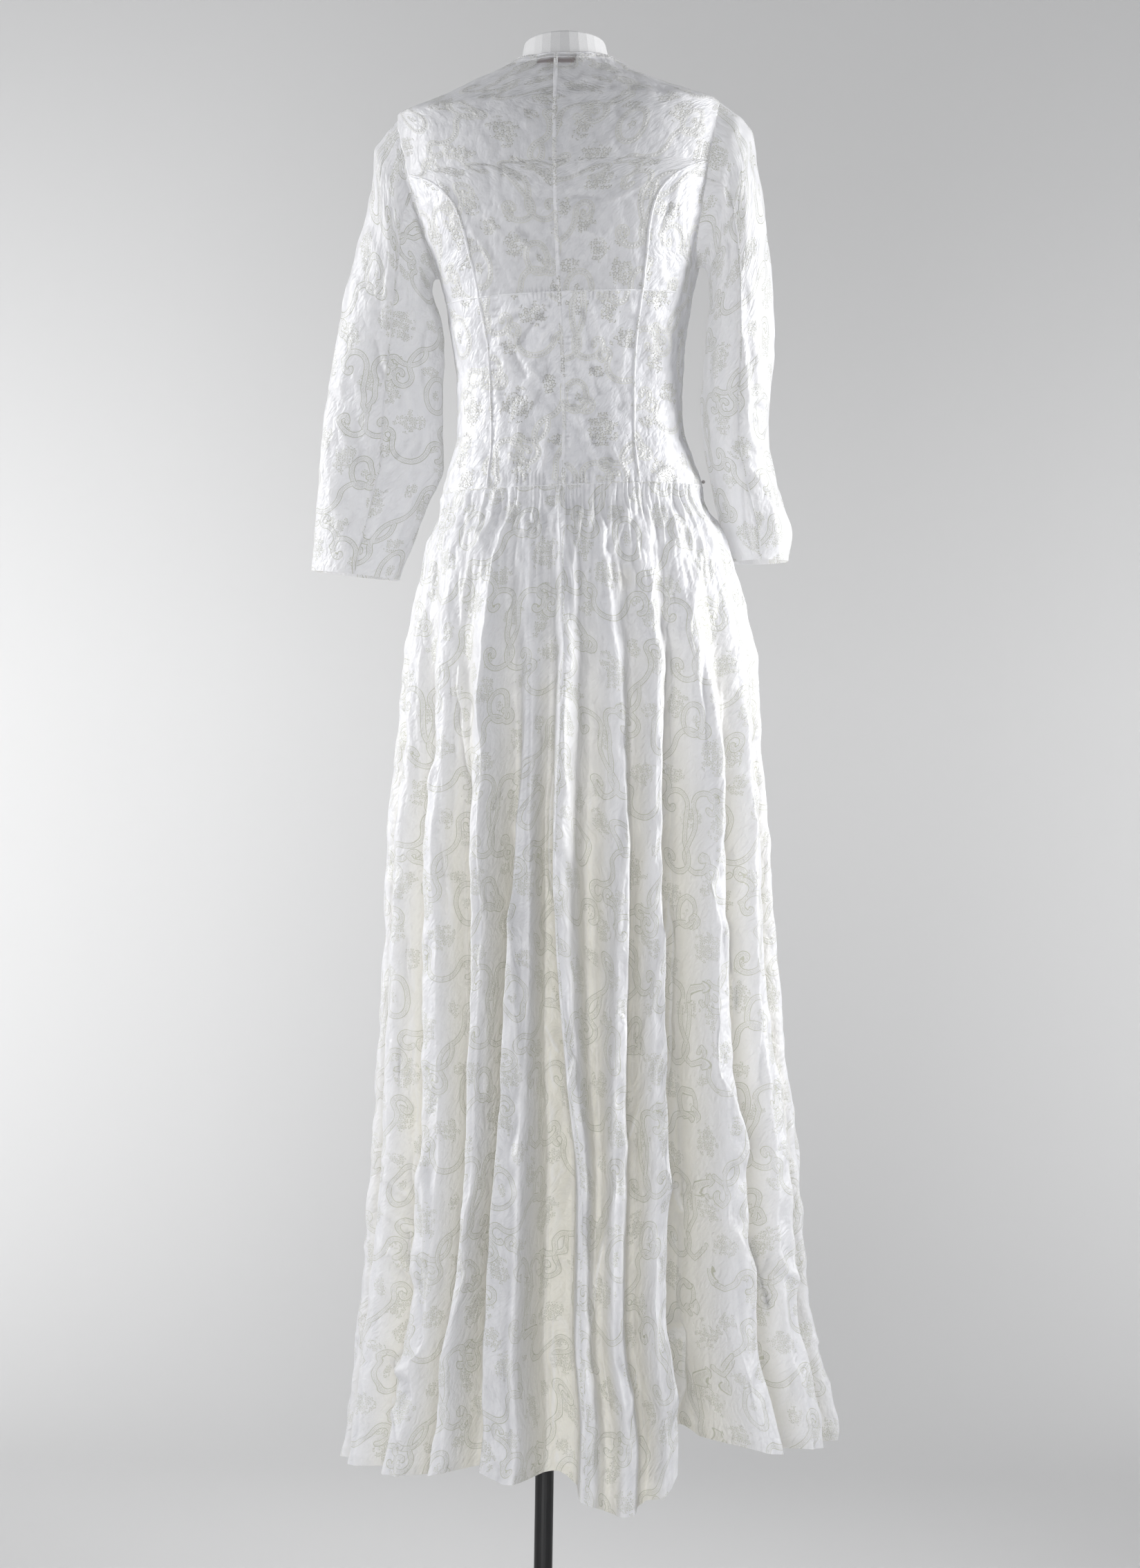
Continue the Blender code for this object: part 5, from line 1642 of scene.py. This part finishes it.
def voile_colour(tree, drawn, threads, ink, bead_highlight_share, shaded):
    """The colour of the printed cloth, with painted shade and painted highlights on its creases
    and beads.
    """
    dim = tuple(THREAD_DARKNESS * value for value in WHITE)
    colour = mix_colour(tree, smooth_range(tree, threads, 0.35, 0.65), dim, WHITE)
    # Cream in the skirt's fold recesses is painted warm shade; at the stains it is their own
    # colour.
    inner = calculate(tree, "MULTIPLY", attribute(tree, "warm_shade_and_stain"), CREAM_SHARE)
    colour = mix_colour(tree, inner, colour, CREAM)
    colour = mix_colour(tree, drawn["Print"], colour, ink)
    # Painted highlight: the tops of the raised beads are made lighter.
    beads = calculate(tree, "MULTIPLY", smooth_range(tree, drawn["Relief"], 0.2, 0.6), bead_highlight_share)
    colour = mix_colour(tree, beads, colour, PAINTED_BEAD_HIGHLIGHT)
    hollow = attribute(tree, "hollow")
    # Painted shade: creases, where the hollow mask is above zero, are darkened.
    colour = mix_colour(tree, smooth_range(tree, hollow, 0.0, 0.8, 0.0, shaded), colour, SHADE)
    # Painted highlight: crests, where the hollow mask is below zero, are lightened.
    crest = smooth_range(tree, hollow, -0.7, 0.0, CREST_GLEAM, 0.0)
    return mix_colour(tree, crest, colour, GLEAM)


def voile_normal(tree, drawn, threads, raised, dented):
    """The small relief of beads, threads and dents, in millimetres."""
    beads = calculate(tree, "MULTIPLY", drawn["Relief"], raised)
    height = calculate(tree, "ADD", beads, calculate(tree, "MULTIPLY", threads, 0.12))
    dents = use_group(tree, DENTS, Depth=dented)["Dents"]
    bump = tree.nodes.new("ShaderNodeBump")
    bump.inputs["Distance"].default_value = 0.001
    tree.links.new(calculate(tree, "ADD", dents, height), bump.inputs["Height"])
    return bump.outputs[0]


# %% Sheer cloth
label_sides = [vertex.co.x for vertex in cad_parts["neck_label"].data.vertices]
LABEL_MIDDLE = (max(label_sides) + min(label_sides)) / 2
LABEL_HALF = (max(label_sides) - min(label_sides)) / 2
LABEL_FOOT = (1.8725, 1.8745)
LABEL_SHOWS = 0.42
YOKE_STRETCH = (1.82, 1.87)
STRETCH_LOSS = 0.1


def voile_cover(tree, double, cover):
    """How opaque sheer cloth is: less where it is stretched or lies on the label."""
    object_place = tree.nodes.new("ShaderNodeTexCoord").outputs["Object"]
    x, _, z = separate(tree, object_place)
    single = smooth_range(tree, z, *YOKE_STRETCH, cover, cover - STRETCH_LOSS)
    spare = calculate(tree, "SUBTRACT", 1.0, single)
    cover = calculate(tree, "MULTIPLY_ADD", double, spare, single)
    off_label = calculate(tree, "ABSOLUTE", calculate(tree, "SUBTRACT", x, LABEL_MIDDLE))
    beside = smooth_range(tree, off_label, LABEL_HALF - 0.001, LABEL_HALF + 0.001, 1.0, 0.0)
    over_label = calculate(tree, "MULTIPLY", beside, smooth_range(tree, z, *LABEL_FOOT))
    return calculate(tree, "MULTIPLY_ADD", over_label, -LABEL_SHOWS, cover)


# %% Voile
def voile(name, ink, glow, raised, dented, rough, bead_highlight_share, shaded, cover=None):
    """White voile, more or less sheer, with its print flat or raised."""
    material = bpy.data.materials.new(name)
    material.use_nodes = True
    tree = material.node_tree
    body = tree.nodes["Principled BSDF"]
    drawn = use_group(tree, PRINT, Flower_Size=6.0)
    threads = use_group(tree, WEAVE, Thick_Share=0.4)["Threads"]
    double = attribute(tree, "doubled")
    normal = voile_normal(tree, drawn, threads, raised, dented)
    colour = voile_colour(tree, drawn, threads, ink, bead_highlight_share, shaded)
    tree.links.new(colour, body.inputs["Base Color"])
    tree.links.new(normal, body.inputs["Normal"])
    body.inputs["Roughness"].default_value = rough
    body.inputs["Specular IOR Level"].default_value = 0.6
    body.inputs["Sheen Weight"].default_value = 0.15
    body.inputs["Sheen Roughness"].default_value = 0.4
    if cover is not None:
        tree.links.new(voile_cover(tree, double, cover), body.inputs["Alpha"])
    through = tree.nodes.new("ShaderNodeBsdfTranslucent")
    lit = mix_colour(tree, drawn["Print"], WARM, ink)
    lit = mix_colour(tree, calculate(tree, "MULTIPLY", double, 0.35), lit, DOUBLED)
    tree.links.new(lit, through.inputs["Color"])
    tree.links.new(normal, through.inputs["Normal"])
    mix = tree.nodes.new("ShaderNodeMixShader")
    mix.inputs[0].default_value = glow
    tree.links.new(body.outputs[0], mix.inputs[1])
    tree.links.new(through.outputs[0], mix.inputs[2])
    tree.links.new(mix.outputs[0], tree.nodes["Material Output"].inputs["Surface"])
    return material


VOILES = {
    "bodice": voile(
        "white voile of the bodice", BODICE_INK,
        glow=0.20, raised=1.7, dented=2.2, rough=0.40, bead_highlight_share=0.5, shaded=0.5,
    ),
    "upper_centre": voile(
        "sheer white voile of the neck", BODICE_INK,
        glow=0.20, raised=1.7, dented=1.8, rough=0.40, bead_highlight_share=0.5, shaded=0.45, cover=0.72,
    ),
    "sleeve": voile(
        "white voile of the sleeves", BACKLIT_SLEEVE_INK,
        glow=0.32, raised=0.4, dented=2.4, rough=0.45, bead_highlight_share=0.0, shaded=0.4, cover=0.84,
    ),
    "skirt": voile(
        "white voile of the skirt", SKIRT_INK,
        glow=0.24, raised=0.5, dented=2.3, rough=0.48, bead_highlight_share=0.0, shaded=0.22,
    ),
}
for name, row in CLOTH.items():
    kinds = [word for word in VOILES if word in name]
    row["piece"].data.materials.append(VOILES[kinds[0] if kinds else "bodice"])
print("voiles", ", ".join(VOILES))

# %% [markdown]
# ## Form, pole, foot, label and button
# These keep their solids. The form is covered in smooth pale jersey, its pole and foot are
# powder-coated, the label is a woven tape and the button is a small grey pearl shank.


# %% Finishes of the solids
def plain_finish(name, light, dark, scale, roughness, bump_height):
    """A surface with a fine grain in its colour, gloss and relief."""
    material = bpy.data.materials.new(name)
    material.use_nodes = True
    tree = material.node_tree
    body = tree.nodes["Principled BSDF"]
    place = tree.nodes.new("ShaderNodeTexCoord").outputs["Object"]
    grain = stretched_noise(tree, place, scale, 4.0)
    patch = calculate(tree, "MULTIPLY", stretched_noise(tree, place, (9, 9, 9), 2.0), 0.4)
    share = smooth_range(tree, calculate(tree, "MULTIPLY_ADD", grain, 0.6, patch), 0.3, 0.7)
    gloss = smooth_range(tree, grain, 0.3, 0.7, roughness - 0.06, roughness + 0.06)
    bump = tree.nodes.new("ShaderNodeBump")
    bump.inputs["Distance"].default_value = bump_height
    tree.links.new(grain, bump.inputs["Height"])
    tree.links.new(mix_colour(tree, share, dark, light), body.inputs["Base Color"])
    tree.links.new(gloss, body.inputs["Roughness"])
    tree.links.new(bump.outputs[0], body.inputs["Normal"])
    return material


SHARP_ANGLE = math.radians(35)
FINISHES = {
    "form_torso": plain_finish(
        "pale jersey cover", (0.68, 0.68, 0.685), (0.63, 0.63, 0.635),
        (900, 900, 900), 0.6, 0.0002,
    ),
    "stand_pole": plain_finish(
        "black steel pole", (0.016, 0.016, 0.017), (0.010, 0.010, 0.011),
        (260, 260, 30), 0.42, 0.0001,
    ),
    "stand_foot": plain_finish(
        "black steel foot", (0.018, 0.018, 0.019), (0.011, 0.011, 0.012),
        (300, 300, 300), 0.48, 0.0001,
    ),
    "neck_label": plain_finish(
        "taupe woven label", (0.20, 0.145, 0.14), (0.15, 0.105, 0.10),
        (2500, 2500, 1200), 0.8, 0.0002,
    ),
    "side_button": plain_finish(
        "grey pearl button", (0.36, 0.34, 0.33), (0.26, 0.25, 0.24),
        (700, 700, 700), 0.3, 0.00005,
    ),
}
for name, finish in FINISHES.items():
    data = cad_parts[name].data
    data.materials.clear()
    data.materials.append(finish)
    data.shade_smooth()
    data.set_sharp_from_angle(angle=SHARP_ANGLE)
print("finished solids", ", ".join(FINISHES))

# %% [markdown]
# ## Stand for the solids
# Each sheet of cloth now takes the place of the solid that it was laid on, which is hidden.

# %% Stand for the solids
for name, row in CLOTH.items():
    if name.endswith("_cloth"):
        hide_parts(name.replace("_cloth", ""))
print("pieces of cloth", len(CLOTH))

# %% [markdown]
# ## Room and light
# The photo was taken in front of a seamless pale sheet. Narrow side lights make the bright
# flanks, a broad low light fills the back of the dress, and two more light the sheet behind.
# The sheet shows from its lit side only, so that the dress can be looked at from all round.

# %% Room
ROOM_HALF_WIDTH = 7.0
FLOOR_START = -6.0
CURVE_START = 1.2
CURVE_RADIUS = 1.2
CURVE_STEPS = 12
WALL_TOP = 6.0
PAPER_GREY = 0.66


def one_sided_paper():
    """Pale paper that can be seen from its front only."""
    paper = bpy.data.materials.new("backdrop paper")
    paper.use_nodes = True
    tree = paper.node_tree
    body = tree.nodes["Principled BSDF"]
    body.inputs["Base Color"].default_value = (PAPER_GREY, PAPER_GREY, PAPER_GREY, 1)
    body.inputs["Roughness"].default_value = 0.9
    mix = tree.nodes.new("ShaderNodeMixShader")
    clear = tree.nodes.new("ShaderNodeBsdfTransparent")
    side = tree.nodes.new("ShaderNodeNewGeometry").outputs["Backfacing"]
    tree.links.new(side, mix.inputs[0])
    tree.links.new(body.outputs[0], mix.inputs[1])
    tree.links.new(clear.outputs[0], mix.inputs[2])
    tree.links.new(mix.outputs[0], tree.nodes["Material Output"].inputs["Surface"])
    return paper


def room():
    """A seamless pale sheet that runs along the floor and up behind the dress."""
    profile = [(FLOOR_START, 0.0)]
    for k in range(CURVE_STEPS + 1):
        turn = math.radians(90 / CURVE_STEPS * k)
        rise = CURVE_RADIUS - CURVE_RADIUS * math.cos(turn)
        profile.append((CURVE_START + CURVE_RADIUS * math.sin(turn), rise))
    profile.append((CURVE_START + CURVE_RADIUS, WALL_TOP))
    verts = [(x, y, z) for y, z in profile for x in (-ROOM_HALF_WIDTH, ROOM_HALF_WIDTH)]
    faces = [(2 * k, 2 * k + 1, 2 * k + 3, 2 * k + 2) for k in range(len(profile) - 1)]
    data = bpy.data.meshes.new("backdrop")
    data.from_pydata(verts, [], faces)
    data.shade_smooth()
    data.materials.append(one_sided_paper())
    backdrop = bpy.data.objects.new("backdrop", data)
    bpy.context.scene.collection.objects.link(backdrop)


room()

# %% Lights
LIGHTS = (
    ("left light", (-2.2, 0.25, 1.9), (0, 0, 1.05), (0.7, 1.2), 10.5, 80),
    ("right light", (2.2, 0.0, 1.8), (0, 0, 1.25), (0.7, 1.3), 14, 80),
    ("low fill", (-0.6, -4.2, 0.9), (0, 0, 0.9), (2.4, 1.2), 76, 180),
    ("left backdrop light", (-2.6, 0.4, 1.2), (-0.45, 2.6, 1.0), (0.8, 1.6), 24, 110),
    ("right backdrop light", (2.6, 0.4, 1.0), (0.85, 2.6, 0.9), (0.8, 1.6), 13, 110),
)
for name, place, target, size, watts, spread in LIGHTS:
    data = bpy.data.lights.new(name, "AREA")
    data.shape = "RECTANGLE"
    data.size, data.size_y = size
    data.energy = watts
    data.spread = math.radians(spread)
    light = bpy.data.objects.new(name, data)
    light.location = place
    light.rotation_euler = (Vector(target) - Vector(place)).to_track_quat("-Z", "Y").to_euler()
    bpy.context.scene.collection.objects.link(light)
world = bpy.data.worlds.new("studio air")
world.use_nodes = True
world.node_tree.nodes["Background"].inputs["Color"].default_value = (0.96, 0.97, 1, 1)
world.node_tree.nodes["Background"].inputs["Strength"].default_value = 0.30
bpy.context.scene.world = world
print("lights", len(LIGHTS))

# %% [markdown]
# Every cut piece of cloth is gone through here. A seam is a strip sewn on a piece, so the seam
# strips are passed over. The bodice is stretched over the form, the sleeves hang and the skirt
# is gathered into the waist.

# %% Sheets
for name, row in CLOTH.items():
    if name in SEAMS:
        continue
    piece = row["piece"]
